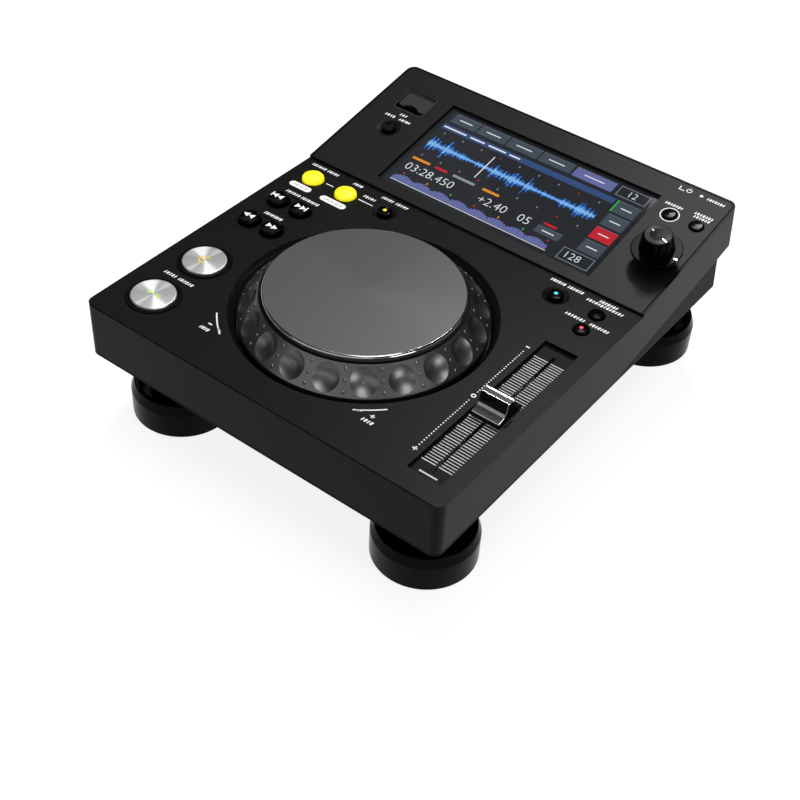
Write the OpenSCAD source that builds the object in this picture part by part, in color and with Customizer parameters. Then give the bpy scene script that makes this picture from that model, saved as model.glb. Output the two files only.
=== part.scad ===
// Tabletop DJ media player: housing, jog wheel, tempo fader, keys, selector, display, sockets and feet.
// Units are millimetres. +Z is up, +Y points to the back. The origin is under the middle of the object,
// on the surface that it stands on.

/* [Body] */
// Width over the side walls
body_w = 240; // [236:1:256]
// Length of the flat front deck, from the front face to the step
deck_len = 189; // [170:1:208]
// Length of the tilted rear part along its slope
slope_len = 105.3; // [104:0.1:112]
// Tilt of the rear part, degrees
slope_tilt = 10.5; // [9:0.5:12]
// Height of the display panel over the deck at the step
slope_step = 1.6; // [1.2:0.1:2.4]
// Height of the housing's front wall
shell_h = 33; // [32:0.5:38]
// Thickness of the tilted rear part, square to its slope
band_t = 30.4; // [29.5:0.1:33]
// Overhang of the housing past the back of the chassis
overhang = 9.6; // [8:0.1:12]
// Thickness of the chassis floor, which shows as a dark strip under the housing
floor_t = 2; // [1.5:0.1:2.5]
// Thickness of the chassis side and rear walls
chassis_wall = 1.5; // [1.2:0.1:2]
// Wall thickness of the housing
wall = 2.5; // [2:0.1:3]
// Radius of the upright corners
corner_r = 5.5; // [4:0.5:8]
// Bevel along the deck's front edge
edge_bevel = 0.5; // [0.2:0.1:1]

/* [Feet] */
// Height of a foot
foot_h = 47.5; // [40:0.5:56]
// Radius of a foot's round pad
foot_r = 29.6; // [24:0.1:31]
// Height of the pad's upright side
foot_side_h = 16.6; // [12:0.1:20]
// Height of the pad's sloping shoulder
foot_shoulder_h = 5.7; // [3:0.1:7]
// How far the shoulder leans in
foot_shoulder_in = 2; // [1:0.1:4]
// Radius of the foot's neck
foot_neck_r = 19; // [14:0.5:22]
// Distance of the feet from the side
foot_x = 32; // [30:0.5:40]
// Distance of the front feet from the front
foot_front_y = 37.5; // [32:0.5:45]
// Distance of the rear feet from the back
foot_back = 30.6; // [30:0.1:45]
// Radius of the foot screw's thread
foot_screw_r = 2; // [1.5:0.1:2.5]

/* [Jog wheel] */
// Jog centre to the right of the middle
jog_shift = -0.1; // [-1:0.1:2]
// Jog centre in front of the deck's middle
jog_fwd = 1.4; // [0:0.1:3]
// Radius of the round well in the deck
well_r = 74.7; // [74:0.1:75.5]
// Depth of the well's floor under the deck
well_depth = 8.6; // [7.5:0.1:9.5]
// Radius of the dimpled ring
ring_r = 69.5; // [68:0.1:70]
// Height of the ring's outer edge, from the deck
ring_low_z = -1.9; // [-2.5:0.1:0]
// Radius of the ring's upper edge
ring_top_r = 57.8; // [57:0.1:59]
// Height of the ring's upper edge over the deck
ring_top_z = 11.6; // [11:0.1:12.5]
// Number of finger dimples
dimple_count = 20; // [12:1:22]
// Radius of a dimple on the ring's slope
dimple_r = 7.9; // [5:0.1:8.2]
// Depth of a dimple
dimple_depth = 2.2; // [1:0.1:2.6]
// Angle of the first dimple
dimple_phase = 2.3; // [0:0.1:18]
// Radius of the flat top plate
plate_r = 55; // [50:0.1:55.5]
// Height of the top plate over the deck
plate_z = 14.9; // [14.2:0.1:17]
// Radius of the jog shaft
shaft_r = 4; // [3:0.1:5]

/* [Tempo fader] */
// Fader centre line from the right side
fader_in = 20; // [19.5:0.1:23]
// Fader's zero mark in front of the deck's middle
fader_fwd = 19.3; // [16:0.1:20]
// Travel of the fader from end to end
fader_travel = 100; // [60:1:100]
// Width of the recess round the scale
recess_w = 20.6; // [18:0.1:22]
// Room in the recess past the cap at each end
recess_end = 1.45; // [0.8:0.05:2]
// Depth of the scale plate under the deck
recess_depth = 2.5; // [2:0.1:3]
// Width of the cap
cap_w = 17.1; // [12:0.1:17.5]
// Length of the cap
cap_l = 20.6; // [16:0.1:24]
// Height of the cap's ridge over the deck
cap_h = 9.5; // [8:0.1:13]

/* [Keys] */
// Gap between a key and its hole
key_gap = 0.3; // [0.2:0.05:0.5]
// Travel of a key
key_travel = 1; // [0.5:0.1:1.2]
// Radius of the play and cue keys
play_r = 12.9; // [10:0.1:13.5]
// Height of the play and cue keys over the deck
play_up = 1.7; // [1.2:0.1:4]
// Width of the dark bezel ring round play and cue
bezel_w = 2.4; // [1.4:0.1:2.6]
// Play key from the left side, and cue above it
play_x = 24.7; // [22:0.1:26]
// Play key from the front
play_y = 27.8; // [22:0.1:30]
// Distance from play to cue
play_pitch = 40.3; // [37:0.1:42]
// Radius of a search key
search_r = 6.9; // [5:0.1:7.1]
// Height of a search key over the deck
search_up = 2.8; // [1.5:0.1:4]
// First search key from the left side
search_x = 16.4; // [15.5:0.1:18]
// Search keys behind the deck's middle
search_past = 20.7; // [17:0.1:22]
// Distance between a pair of search keys
search_pitch = 16.8; // [16:0.1:19]
// Distance from the search row to the track row
track_pitch = 25.7; // [22:0.1:27]
// Radius of a loop key
loop_r = 6.8; // [5:0.1:7.2]
// Height of a loop key over the deck
loop_up = 2.8; // [2.4:0.1:5]
// Loop-in key from the left side
loop_x = 17.2; // [16:0.1:19]
// Loop keys from the end of the deck
loop_back = 17.3; // [15:0.1:20]
// Distance between the loop keys
loop_pitch = 25.4; // [22:0.1:28]
// Radius of a small key
small_r = 4.7; // [3.5:0.1:5]
// Height of a small key over its surface
small_up = 1.6; // [1:0.1:3]
// Width of the dished bezel round some small keys
dish_w = 2.8; // [1.5:0.1:3]
// Reloop key from the left side
reloop_x = 71.6; // [68:0.1:76]
// Reloop key from the end of the deck
reloop_back = 16; // [14:0.1:18]
// Vinyl key from the right side
vinyl_in = 47.4; // [45:0.1:50]
// Vinyl and tempo range keys from the end of the deck
vinyl_back = 16; // [14:0.1:18]
// Tempo range and master tempo keys from the right side
range_in = 20.5; // [18:0.1:23]
// Master tempo key from the end of the deck
master_back = 32.2; // [30:0.1:34]

/* [Display panel] */
// Thickness of the panel plate
panel_t = 2.2; // [1.8:0.1:2.6]
// Width of the housing's lip beside the panel
panel_lip = 1.2; // [1:0.1:2]
// Gap between the panel and the lip
panel_gap = 0.5; // [0.2:0.1:0.8]
// Screen window width
screen_w = 152; // [136:0.5:170]
// Screen window height along the slope
screen_h = 79; // [70:0.5:82]
// Screen centre to the right of the middle
screen_shift = 3.1; // [1:0.1:4]
// Screen centre up the slope from the step
screen_v = 47.4; // [46:0.1:49]
// Stop key of the USB socket from the left side
stop_x = 25.5; // [24:0.1:27]
// Stop key up the slope
stop_v = 47.1; // [44:0.1:49]
// Back key's place from the screen to the right side, 0 to 1
back_share = 0.298; // [0.28:0.002:0.36]
// Back and tag keys up the slope
back_v = 75.5; // [72:0.1:77]
// Tag key's place from the screen to the right side, 0 to 1
tag_share = 0.731; // [0.7:0.001:0.76]
// Standby lamp from the right side
lamp_in = 21.2; // [18:0.1:26]
// Standby lamp up the slope
lamp_v = 99.2; // [96:0.1:100]
// Radius of the standby lamp
lamp_r = 1; // [0.8:0.1:1.5]

/* [Selector] */
// Selector axis from the right side
selector_in = 16.3; // [16:0.1:20]
// Selector axis up the slope
selector_v = 39.1; // [37:0.1:43]
// Radius of the selector's wide flange
flange_r = 14.8; // [12:0.1:15]
// Height of the flange over the panel
flange_n = 8.4; // [6:0.1:9]
// Thickness of the flange
flange_t = 1.6; // [1:0.1:2]
// Radius of the neck under the flange
neck_r = 8.8; // [7:0.1:9]
// Radius of the fluted cap at its foot
grip_r = 10.2; // [9:0.1:11]
// Radius of the fluted cap at its top
grip_top_r = 8.8; // [7:0.1:9]
// Height of the fluted cap
grip_h = 10.4; // [8:0.1:13]
// Number of flutes
flute_count = 12; // [8:1:14]
// Push travel of the selector
selector_travel = 0.5; // [0.3:0.1:0.6]

/* [USB bay] */
// Bay centre's place from the left side to the screen, 0 to 1
bay_share = 0.538; // [0.52:0.002:0.56]
// Bay centre up the slope
bay_v = 75.7; // [74.5:0.1:77]
// Width of the cover's opening
bay_w = 20.7; // [18:0.1:22]
// Length of the cover's opening along the slope
bay_l = 18.6; // [16:0.1:19.5]
// Radius of the bay's corners
bay_corner_r = 2; // [1:0.1:3]
// Thickness of the bay's rim
bay_rim = 1; // [0.8:0.1:1.5]
// Depth of the bay's floor
bay_depth = 8; // [6:0.5:9]
// Thickness of the cover
cover_t = 1.4; // [1:0.1:1.6]
// Radius of the cover's hinge pin
pin_r = 0.5; // [0.4:0.05:0.6]
// Open room in the bay in front of the cover, for a finger
finger_room = 3.6; // [2:0.1:4.5]
// Radius of the notch in the cover's front edge
notch_r = 7.5; // [5:0.1:9]

/* [Rear sockets] */
// How far the sockets' faces lie in from the back of the chassis
socket_in = 3.1; // [3:0.1:3.6]
// First phono jack from the left side
phono_x = 50; // [46:1:54]
// Distance between the phono jacks
phono_pitch = 16; // [14:0.5:20]
// Radius of a phono sleeve
phono_r = 4.15; // [4:0.05:4.3]
// Length of a phono sleeve
phono_len = 9.5; // [8:0.5:10]
// USB-B socket from the left side
usb_b_x = 100; // [96:1:104]
// LAN socket from the left side
lan_x = 130; // [126:1:134]
// DC inlet from the left side
dc_x = 166; // [160:1:172]
// Power key from the right side
power_in = 44; // [42:1:50]
// Radius of the power key
power_r = 4; // [3:0.1:4.5]
// Lock slot from the left side
lock_x = 16; // [15:0.5:20]

/* [Inside] */
// Thickness of the circuit boards
board_t = 1.6; // [1.2:0.1:2]
// Depth of the key boards under the surface
key_board_z = 13; // [12:0.5:14]
// Height of a key switch over its board
switch_h = 3.8; // [3:0.1:4]
// Clearance between pieces that are assembled together
seat = 0.05; // [0.02:0.01:0.08]
// Running clearance of a shaft or pin
running = 0.04; // [0.02:0.01:0.08]
// Radius of a case screw's thread
screw_r = 1.3; // [1:0.1:1.5]

/* [Hidden] */
$fn = 64;

cut = 1;                                      // how far a cutting tool runs past the face it cuts
tiny = 0.01;
ts = sin(slope_tilt);
tc = cos(slope_tilt);
under_z = -shell_h - floor_t;                 // underside of the chassis, from the deck
deck_z = foot_h + floor_t + shell_h;          // top of the deck over the table
floor_z = -shell_h;                           // inner face of the chassis floor, from the deck
function slope_pt(v, n) = [deck_len + v * tc - n * ts, slope_step + v * ts + n * tc];
function slope_v_at(z, n) = (z - slope_step - n * tc) / ts;
function slope_z_at(y, n) = slope_step + n / tc + (y - deck_len) * ts / tc;
overall_d = slope_pt(slope_len, -band_t)[0];
chassis_len = overall_d - overhang;
jog_x = body_w / 2 + jog_shift;
jog_y = deck_len / 2 - jog_fwd;
screen_x = body_w / 2 + screen_shift;
screen_left = screen_x - screen_w / 2;
screen_right = screen_x + screen_w / 2;
fader_x = body_w - fader_in;
fader_y = deck_len / 2 - fader_fwd;
search_y = deck_len / 2 + search_past;
loop_y = deck_len - loop_back;
reloop_y = deck_len - reloop_back;
vinyl_y = deck_len - vinyl_back;
master_y = deck_len - master_back;
vinyl_x = body_w - vinyl_in;
range_x = body_w - range_in;
back_x = screen_right + back_share * (body_w - screen_right);
tag_x = screen_right + tag_share * (body_w - screen_right);
bay_x = bay_share * screen_left;
lamp_x = body_w - lamp_in;
selector_x = body_w - selector_in;
power_x = body_w - power_in;
socket_y = chassis_len - socket_in;
chassis_v = (chassis_len - deck_len) * tc + (under_z - slope_step) * ts;
inner_n = -panel_t - wall;                    // underside of the housing below the panel
fold_v = slope_v_at(-shell_h, -band_t);       // where the housing's lower edge turns up the slope

key_stem_r = 1.6;
key_stem_z = key_board_z - switch_h - key_travel - 0.2;
key_flange = 0.9;
pair_dish = 0.5;                              // depth of the recess that a pair of keys shares
pair_rim = 1.5;
key_flange_z = wall + key_gap;
key_flange_t = 1.1;
dish_depth = 1.2;
dome = 1;
post_r = 2.6;
boss_r = 4;
screw_head_r = 2.7;
screw_head_h = 1.2;
screw_grip = 9;

recess_l = fader_travel + cap_l + 2 * recess_end;
plate_t = 1.2;
plate_rim = 1.6;
stem_w = 1.2;
stem_l = 8;
stem_top_z = 3;
stem_low_z = -9;
slot_w = stem_w + 1;
fader_body_w = 13;
fader_body_low = -15;
fader_end = 9;                                // body's length past the stem's travel
carriage_w = 8;
carriage_l = 10;
carriage_t = 3;
rod_r = 0.7;
rod_x = 2.4;

ring_bottom = -5;
ring_groove_r = ring_top_r - 1;
ring_seat_z = ring_top_z - 1.8;
ring_seat_r = 50;
ring_wall = 4.6;
web_t = 2;
hub_r = 12;
bush_r = 8;
bush_collar_r = 10;
bush_collar_t = 1;
bush_low_z = -20;
well_t = 1.8;
well_slope = 4;                               // how far the well narrows down to the ring's foot
well_slope_z = 6;                             // depth at which the well stops narrowing
well_mouth_r = well_r - well_slope * wall / well_slope_z;
well_flange_r = well_r + 2.6;
well_flange_t = 2;
shaft_low_z = -25.5;
disc_r = 20;
disc_z = -23.4;
disc_t = 0.8;
disc_hub_r = 7;
disc_hub_top = bush_low_z - 0.1;

glass_border = 3;
glass_t = 1.1;
lcd_border = 3;
lcd_t = 6;
lcd_n = -panel_t - glass_t;
bracket_t = 1.2;
bracket_v = [16, 60];
bracket_reach = 3;

encoder_w = 12;
encoder_top_n = -6;
bushing_r = 3.5;
bushing_top_n = 2.5;
selector_shaft_r = 3;
selector_shaft_top = 15;
plunger_r = 2;
plunger_h = 2;
chamber_r = 2.4;
neck_gap = selector_travel + 0.2;
flute_r = 2.3;

cover_gap = 0.35;
knuckle_r = 1.2;
pin_n = -1.6;
pin_v = bay_v + bay_l / 2 - knuckle_r - cover_gap;
socket_w = 13.2;
socket_t = 5.8;
socket_len = 14;
metal_t = 0.4;

board_lift = 2;                               // room under the main and jack boards
board_z = floor_z + board_lift + board_t;     // top of the main and jack boards, from the deck
jack_len = 28;
jack_in = 2.4;                                // board's rear edge in front of the sockets' faces
jack_y = [socket_y - jack_in - jack_len, socket_y - jack_in];
jack_leg_in = 4;
jack_leg_r = 2;
jack_x = [40, power_x + 6];
main_y = [jog_y + 11.7, jack_y[0] - 5];
main_in = 22;
main_x = [main_in, body_w - main_in];
standoff_r = 3;
sensor_w = 8;
sensor_l = 12;
foot_boss_r = 5;
foot_boss_h = 6;
foot_head_r = 4;
foot_head_h = 2.5;
foot_web = 15;                                // height of the foot over its screw's head
foot_wall = 3;
foot_rim = 2.4;                               // width of the rim round the well at the foot's top
foot_well_z = 13.5;                           // floor of that well over the table
foot_floor = 2.5;                             // thickness of the well's floor
foot_tube_r = foot_head_r + 4;
pad_t = 2.5;
pad_show = 0.5;                               // how far the rubber pad stands out of the foot
power_h = 6.4;
phono_h = 7.5;                                // jack axis over its board
phono_block = [11, 10.8, 12];
lan_block = [16, 20, 13.5];
usb_b_block = [12, 16, 11];
dc_block = [9, 14, 11];
phono_collar_r = 5;                           // insulating collar in the chassis' hole
phono_collar = 1.6;
phono_back = 2.3;                             // collar's length from the block to the wall
phono_bore_r = 1.6;

play_pos = [play_x, play_y];
cue_pos = [play_x, play_y + play_pitch];
search_pos = [for (i = [0, 1]) [search_x + i * search_pitch, search_y]];
track_pos = [for (i = [0, 1]) [search_x + i * search_pitch, search_y + track_pitch]];
loop_pos = [for (i = [0, 1]) [loop_x + i * loop_pitch, loop_y]];
reloop_pos = [reloop_x, reloop_y];
vinyl_pos = [vinyl_x, vinyl_y];
range_pos = [range_x, vinyl_y];
master_pos = [range_x, master_y];
stop_pos = [stop_x, stop_v];
back_pos = [back_x, back_v];
tag_pos = [tag_x, back_v];
deck_switch_pos = concat([play_pos, cue_pos], search_pos, track_pos, loop_pos,
                         [reloop_pos, vinyl_pos, range_pos, master_pos]);
slope_switch_pos = [stop_pos, back_pos, tag_pos];

side_boss = 8;
front_boss = 9;
front_boss_x = 50;
mid_boss = 16;
rear_boss = 20;
board_side = side_boss + boss_r + 1;
board_edge = 14;
plate_end = fader_y + recess_l / 2 + plate_rim;
boss_y = [(search_y + track_pitch + loop_y) / 2, deck_len + mid_boss, overall_d - rear_boss];
boss_pos = concat(
    [for (x = [-front_boss_x, front_boss_x]) [body_w / 2 + x, front_boss]],
    [for (x = [side_boss, body_w - side_boss], y = boss_y) [x, y]]);
left_edge_x = search_x + search_pitch + 5.7;
left_board = [
    [board_side, play_y - 14.8], [left_edge_x, play_y - 14.8], [left_edge_x, loop_y - 6.5],
    [reloop_x + 9.9, loop_y - 6.5], [reloop_x + 9.9, loop_y + 10], [board_side, loop_y + 10]];
right_board = [
    [vinyl_x - 7.8, master_y - 7.4], [body_w - board_edge, master_y - 7.4],
    [body_w - board_edge, vinyl_y + 9.2], [vinyl_x - 7.8, vinyl_y + 9.2]];
left_posts = [
    [play_x + 8.6, play_y + play_pitch / 2],
    [search_x, (play_y + play_pitch + search_y) / 2],
    [search_x + search_pitch / 2, search_y + track_pitch / 2],
    [(loop_x + loop_pitch + reloop_x) / 2, reloop_y + 5.5]];
right_posts = [[vinyl_x - 3.8, vinyl_y - 11.8], [(vinyl_x + range_x) / 2, vinyl_y]];
bracket_half = screen_w / 2 + lcd_border + bracket_reach;
select_reach = 19.6;
select_edge = 6;
usb_board_x = [board_side, left_edge_x];
usb_board_v = [stop_v - 8.4, bay_v + 12.5];
usb_post_v = stop_v + 9.6;
usb_posts = [[board_side + post_r + 0.6, usb_post_v], [screen_x - bracket_half - post_r - 0.6, usb_post_v]];
select_board_x = [selector_x - select_reach, body_w - select_edge];
select_board_v = [selector_v - 11.5, back_v + 5.8];
select_post_v = (selector_v + back_v) / 2;
select_posts = [[screen_x + bracket_half + post_r + 0.8, select_post_v], [body_w - 10, select_post_v]];
main_posts = [for (x = [main_x[0] + 8, main_x[1] - 8], y = [main_y[0] + 8, main_y[1] - 8]) [x, y]];
foot_pos = [for (y = [foot_front_y, overall_d - foot_back], x = [foot_x, body_w - foot_x]) [x, y]];

// Places: a point on the deck, on the display panel, and on the sockets' front plane
module deck(p, z = 0) {
    translate([p[0] - body_w / 2, p[1] - overall_d / 2, deck_z + z]) children();
}
module slope(p, n = 0) {
    translate([-body_w / 2, deck_len - overall_d / 2, deck_z + slope_step])
        rotate([slope_tilt, 0, 0])
            translate([p[0], p[1], n]) children();
}
module rear(x, h) {
    translate([x - body_w / 2, socket_y - overall_d / 2, deck_z + board_z + h]) children();
}

// Forms used by several pieces
module side_extrude(w) {
    translate([0, -overall_d / 2, deck_z])
        rotate([90, 0, 90])
            linear_extrude(w, center = true) children();
}
module round_square(w, d, r) {
    square([w - 2 * r, d], center = true);
    square([w, d - 2 * r], center = true);
    for (x = [-1, 1], y = [-1, 1]) translate([x * (w / 2 - r), y * (d / 2 - r)]) circle(r);
}
module slab(w, d, h, r) {
    linear_extrude(h) round_square(w, d, r);
}
module bar(x, y, z) {
    translate([x[0], y[0], z[0]]) cube([x[1] - x[0], y[1] - y[0], z[1] - z[0]]);
}
// A rectangle from y = 0 to y = l with its two far corners rounded
module end_rounded(w, l, r) {
    translate([-w / 2, 0]) square([w, l - r]);
    translate([-w / 2 + r, 0]) square([w - 2 * r, l]);
    for (x = [-1, 1]) translate([x * (w / 2 - r), l - r]) circle(r);
}
// Everything within a width, with rounded corners at the front, and at the back square to the slope
module rounded_plan(w, back_v, r) {
    intersection() {
        translate([0, overall_d - overall_d / 2, -cut]) mirror([0, 1, 0])
            linear_extrude(2 * deck_z) end_rounded(w, overall_d, r);
        slope([body_w / 2, -2 * deck_len], -deck_z)
            linear_extrude(2 * deck_z) end_rounded(w, back_v + 2 * deck_len, r);
    }
}
// A hollow post that takes a board screw, hanging down from the surface at the height top
module post(top, bottom) {
    difference() {
        translate([0, 0, bottom]) cylinder(r = post_r, h = top - bottom);
        translate([0, 0, bottom - cut]) cylinder(r = screw_r - 0.3, h = 6 + cut);
    }
}
// A round key: domed cap, hidden flange and stem over its switch
module key(r, up, edge = dome) {
    rotate_extrude()
        polygon(concat(
            [[0, -key_stem_z], [key_stem_r, -key_stem_z], [key_stem_r, -key_flange_z - key_flange_t],
             [r + key_flange, -key_flange_z - key_flange_t], [r + key_flange, -key_flange_z],
             [r, -key_flange_z]],
            [for (a = [0:22.5:90]) [r - edge + edge * cos(a), up - edge + edge * sin(a)]],
            [[0, up + 0.25 * edge]]));
}
module key_hole(r, dished = false) {
    translate([0, 0, -wall - cut]) cylinder(r = r + key_gap, h = wall + 2 * cut);
    if (dished)
        translate([0, 0, -dish_depth])
            cylinder(
                r1 = r + key_gap + 0.3, r2 = r + key_gap + dish_w + dish_w * cut / dish_depth,
                h = dish_depth + cut);
}
module tact_switch() {
    translate([-3, -3, -key_board_z]) cube([6, 6, switch_h - 0.6]);
    translate([0, 0, -key_board_z + switch_h - 0.6]) cylinder(r = 1.7, h = 0.6);
}

// Housing
function shell_outline() = [
    [0, -shell_h], [0, -edge_bevel], [edge_bevel, 0], [deck_len, 0],
    slope_pt(0, 0), slope_pt(slope_len, 0), slope_pt(slope_len, -band_t), slope_pt(fold_v, -band_t)];
function shell_cavity() = [
    [wall, -shell_h - cut], [wall, -wall], [deck_len - wall, -wall],
    [deck_len - wall, slope_z_at(deck_len - wall, inner_n)],
    slope_pt(slope_len - wall, inner_n), slope_pt(slope_len - wall, -band_t + wall),
    slope_pt(chassis_v, -band_t + wall), slope_pt(chassis_v, -band_t - cut),
    [slope_pt(fold_v, -band_t)[0], -shell_h - cut]];

module shell_body() {
    difference() {
        intersection() {
            side_extrude(body_w) polygon(shell_outline());
            rounded_plan(body_w, slope_len, corner_r);
        }
        side_extrude(body_w - 2 * wall) polygon(shell_cavity());
        // seat of the display panel
        slope([body_w / 2, 0], -panel_t)
            linear_extrude(panel_t + cut)
                end_rounded(body_w - 2 * panel_lip, slope_len - panel_lip, corner_r - panel_lip);
    }
}
// The opening that the USB bay is set into, through a sheet that starts at the height n
module bay_cut(n, t) {
    fit = 2 * bay_rim + 2 * seat;
    slope([bay_x, bay_v], n - cut) slab(bay_w + fit, bay_l + fit, t + 2 * cut, bay_corner_r + bay_rim);
}
module shell_openings() {
    deck([jog_x, jog_y]) rotate_extrude($fn = 96)
        polygon([
            [0, -wall - cut], [well_mouth_r, -wall - cut], [well_mouth_r, -wall], [well_r, 0], [well_r, cut], [0, cut]]);
    deck([fader_x, fader_y], -wall - cut)
        translate([-recess_w / 2, -recess_l / 2, 0]) cube([recess_w, recess_l, wall + 2 * cut]);
    for (p = [play_pos, cue_pos])
        deck(p, -wall - cut) cylinder(r = play_r + key_gap + bezel_w + seat, h = wall + 2 * cut);
    for (p = concat(search_pos, track_pos)) deck(p) key_hole(search_r);
    for (pair = [search_pos, track_pos])
        hull() for (p = pair) deck(p, -pair_dish) cylinder(r = search_r + pair_rim, h = pair_dish + cut);
    for (p = loop_pos) deck(p) key_hole(loop_r);
    for (p = [reloop_pos, vinyl_pos]) deck(p) key_hole(small_r, true);
    for (p = [range_pos, master_pos]) deck(p) key_hole(small_r);
    // behind the display panel: screen, keys, selector and USB bay
    slope([screen_x, screen_v], inner_n - cut)
        linear_extrude(wall + 2 * cut)
            square([screen_w + 2 * (lcd_border + seat), screen_h + 2 * (lcd_border + seat)], center = true);
    for (p = slope_switch_pos)
        slope(p, inner_n - cut) cylinder(r = small_r + key_flange + 0.6, h = wall + 2 * cut);
    slope([selector_x, selector_v], inner_n - cut) cylinder(r = 5, h = wall + 2 * cut);
    bay_cut(inner_n, wall);
    slope([lamp_x, lamp_v], inner_n - cut) cylinder(r = lamp_r + 0.5, h = wall + 2 * cut);
}
module shell_posts() {
    for (p = left_posts) deck(p) post(-wall + tiny, -key_board_z);
    for (p = right_posts) deck(p) post(-wall + tiny, -key_board_z);
    for (p = concat(usb_posts, select_posts)) slope(p) post(inner_n + tiny, -key_board_z);
    for (p = boss_pos) {
        top = p[1] > deck_len ? slope_z_at(p[1], inner_n) + wall / 2 : -wall + tiny;
        deck(p)
            difference() {
                translate([0, 0, floor_z]) cylinder(r = boss_r, h = top - floor_z);
                translate([0, 0, floor_z - cut]) cylinder(r = screw_r + seat, h = screw_grip + cut);
            }
    }
}
module top_shell() {
    color([0.11, 0.11, 0.12]) {
        difference() {
            shell_body();
            shell_openings();
        }
        shell_posts();
    }
}

// Lower chassis: floor, wedge-shaped side walls and rear wall
function chassis_outline() = [
    [0, under_z], [0, -shell_h], slope_pt(fold_v, -band_t), slope_pt(chassis_v, -band_t),
    [chassis_len, under_z]];
function chassis_cavity() = [
    [-cut, -shell_h], [-cut, 0], slope_pt(chassis_v - chassis_wall, 0),
    slope_pt(chassis_v - chassis_wall, slope_inner_low())];
function slope_inner_low() = (floor_z - slope_step - (chassis_v - chassis_wall) * ts) / tc;

module chassis_ports() {
    // straight through the rear wall, behind each socket
    deep = 14;
    for (i = [0, 1])
        rear(phono_x + i * phono_pitch, phono_h) rotate([90, 0, 0])
            cylinder(r = phono_collar_r + 0.2, h = deep, center = true);
    rear(usb_b_x, 0) translate([-6.2, -deep / 2, -0.2]) cube([12.4, deep, 11.4]);
    rear(lan_x, 0) translate([-8.2, -deep / 2, -0.2]) cube([16.4, deep, 13.9]);
    rear(dc_x, 0) translate([-4.7, -deep / 2, -0.2]) cube([9.4, deep, 11.4]);
    rear(power_x, power_h) rotate([90, 0, 0]) cylinder(r = power_r + key_gap, h = deep, center = true);
    rear(lock_x, 4) translate([-3.5, -deep / 2, 0]) cube([7, deep, 3]);
}
module bottom_chassis() {
    color([0.09, 0.09, 0.1])
        difference() {
            union() {
                difference() {
                    intersection() {
                        side_extrude(body_w) polygon(chassis_outline());
                        rounded_plan(body_w, chassis_v, corner_r);
                    }
                    side_extrude(body_w - 2 * chassis_wall) polygon(chassis_cavity());
                }
                for (p = foot_pos) deck(p, floor_z - tiny) cylinder(r = foot_boss_r, h = foot_boss_h + tiny);
                for (p = main_posts)
                    deck(p, floor_z - tiny) cylinder(r = standoff_r, h = board_z - board_t - floor_z + tiny);
            }
            for (p = foot_pos)
                deck(p, under_z - cut) cylinder(r = foot_screw_r + seat, h = floor_t + foot_boss_h + 2 * cut);
            for (p = boss_pos) {
                deck(p, under_z - cut) cylinder(r = screw_r + 0.4, h = floor_t + 2 * cut);
                deck(p, under_z - cut) cylinder(r = screw_head_r + 0.2, h = screw_head_h + cut);
            }
            chassis_ports();
        }
}

// Display panel with the touch glass and display behind it
module display_panel() {
    inset = panel_lip + panel_gap;
    color([0.2, 0.2, 0.21])
        difference() {
            slope([body_w / 2, 0], -panel_t)
                linear_extrude(panel_t) end_rounded(body_w - 2 * inset, slope_len - inset, corner_r - inset);
            slope([screen_x, screen_v], -panel_t - cut)
                translate([-screen_w / 2, -screen_h / 2, 0]) cube([screen_w, screen_h, panel_t + 2 * cut]);
            slope(stop_pos) key_hole(small_r, true);
            slope(back_pos) key_hole(small_r - 0.4);
            slope(tag_pos) key_hole(small_r - 0.3);
            slope([selector_x, selector_v], -panel_t - cut)
                cylinder(r = bushing_r + seat, h = panel_t + 2 * cut);
            bay_cut(-panel_t, panel_t);
            slope([lamp_x, lamp_v], -panel_t - cut) cylinder(r = lamp_r + seat, h = panel_t + 2 * cut);
        }
}
module touch_glass() {
    w = screen_w + 2 * glass_border;
    l = screen_h + 2 * glass_border;
    color([0.05, 0.05, 0.07])
        slope([screen_x - w / 2, screen_v - l / 2], -panel_t - glass_t) cube([w, l, glass_t]);
}
module lcd_module() {
    w = screen_w + 2 * lcd_border;
    l = screen_h + 2 * lcd_border;
    color([0.6, 0.6, 0.62])
        slope([screen_x - w / 2, screen_v - l / 2], lcd_n - lcd_t)
            difference() {
                cube([w, l, lcd_t]);
                translate([6, 6, -cut]) cube([w - 12, l - 12, cut + 1]);
            }
}
module display_bracket() {
    w = screen_w + 2 * lcd_border + 2 * bracket_reach;
    l = bracket_v[1] - bracket_v[0];
    color([0.7, 0.7, 0.72])
        slope([screen_x - w / 2, bracket_v[0]], lcd_n - lcd_t - bracket_t) {
            cube([w, l, bracket_t]);
            for (x = [0, w - bracket_t])
                translate([x, 0, 0]) cube([bracket_t, l, inner_n - lcd_n + lcd_t + bracket_t]);
        }
}

// Jog wheel
module jog() {
    deck([jog_x, jog_y]) children();
}
module jog_well() {
    color([0.07, 0.07, 0.08])
        jog() rotate_extrude($fn = 96)
            polygon([
                [bush_r + seat, bush_low_z], [bush_r + seat, -well_depth],
                [well_r - well_slope - 0.8, -well_depth], [well_r - well_slope, -well_slope_z - 0.8],
                [well_r - well_slope, -well_slope_z], [well_mouth_r, -wall], [well_flange_r, -wall],
                [well_flange_r, -wall - well_flange_t], [well_r, -wall - well_flange_t],
                [well_r - well_slope + well_t, -well_depth - well_t],
                [bush_collar_r + 2, -well_depth - well_t], [bush_collar_r + 2, bush_low_z]]);
}
module jog_bearing() {
    color([0.72, 0.55, 0.3])
        jog() rotate_extrude()
            polygon([
                [shaft_r + running, bush_low_z], [shaft_r + running, -well_depth + bush_collar_t],
                [bush_collar_r, -well_depth + bush_collar_t], [bush_collar_r, -well_depth],
                [bush_r, -well_depth], [bush_r, bush_low_z]]);
}
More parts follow.
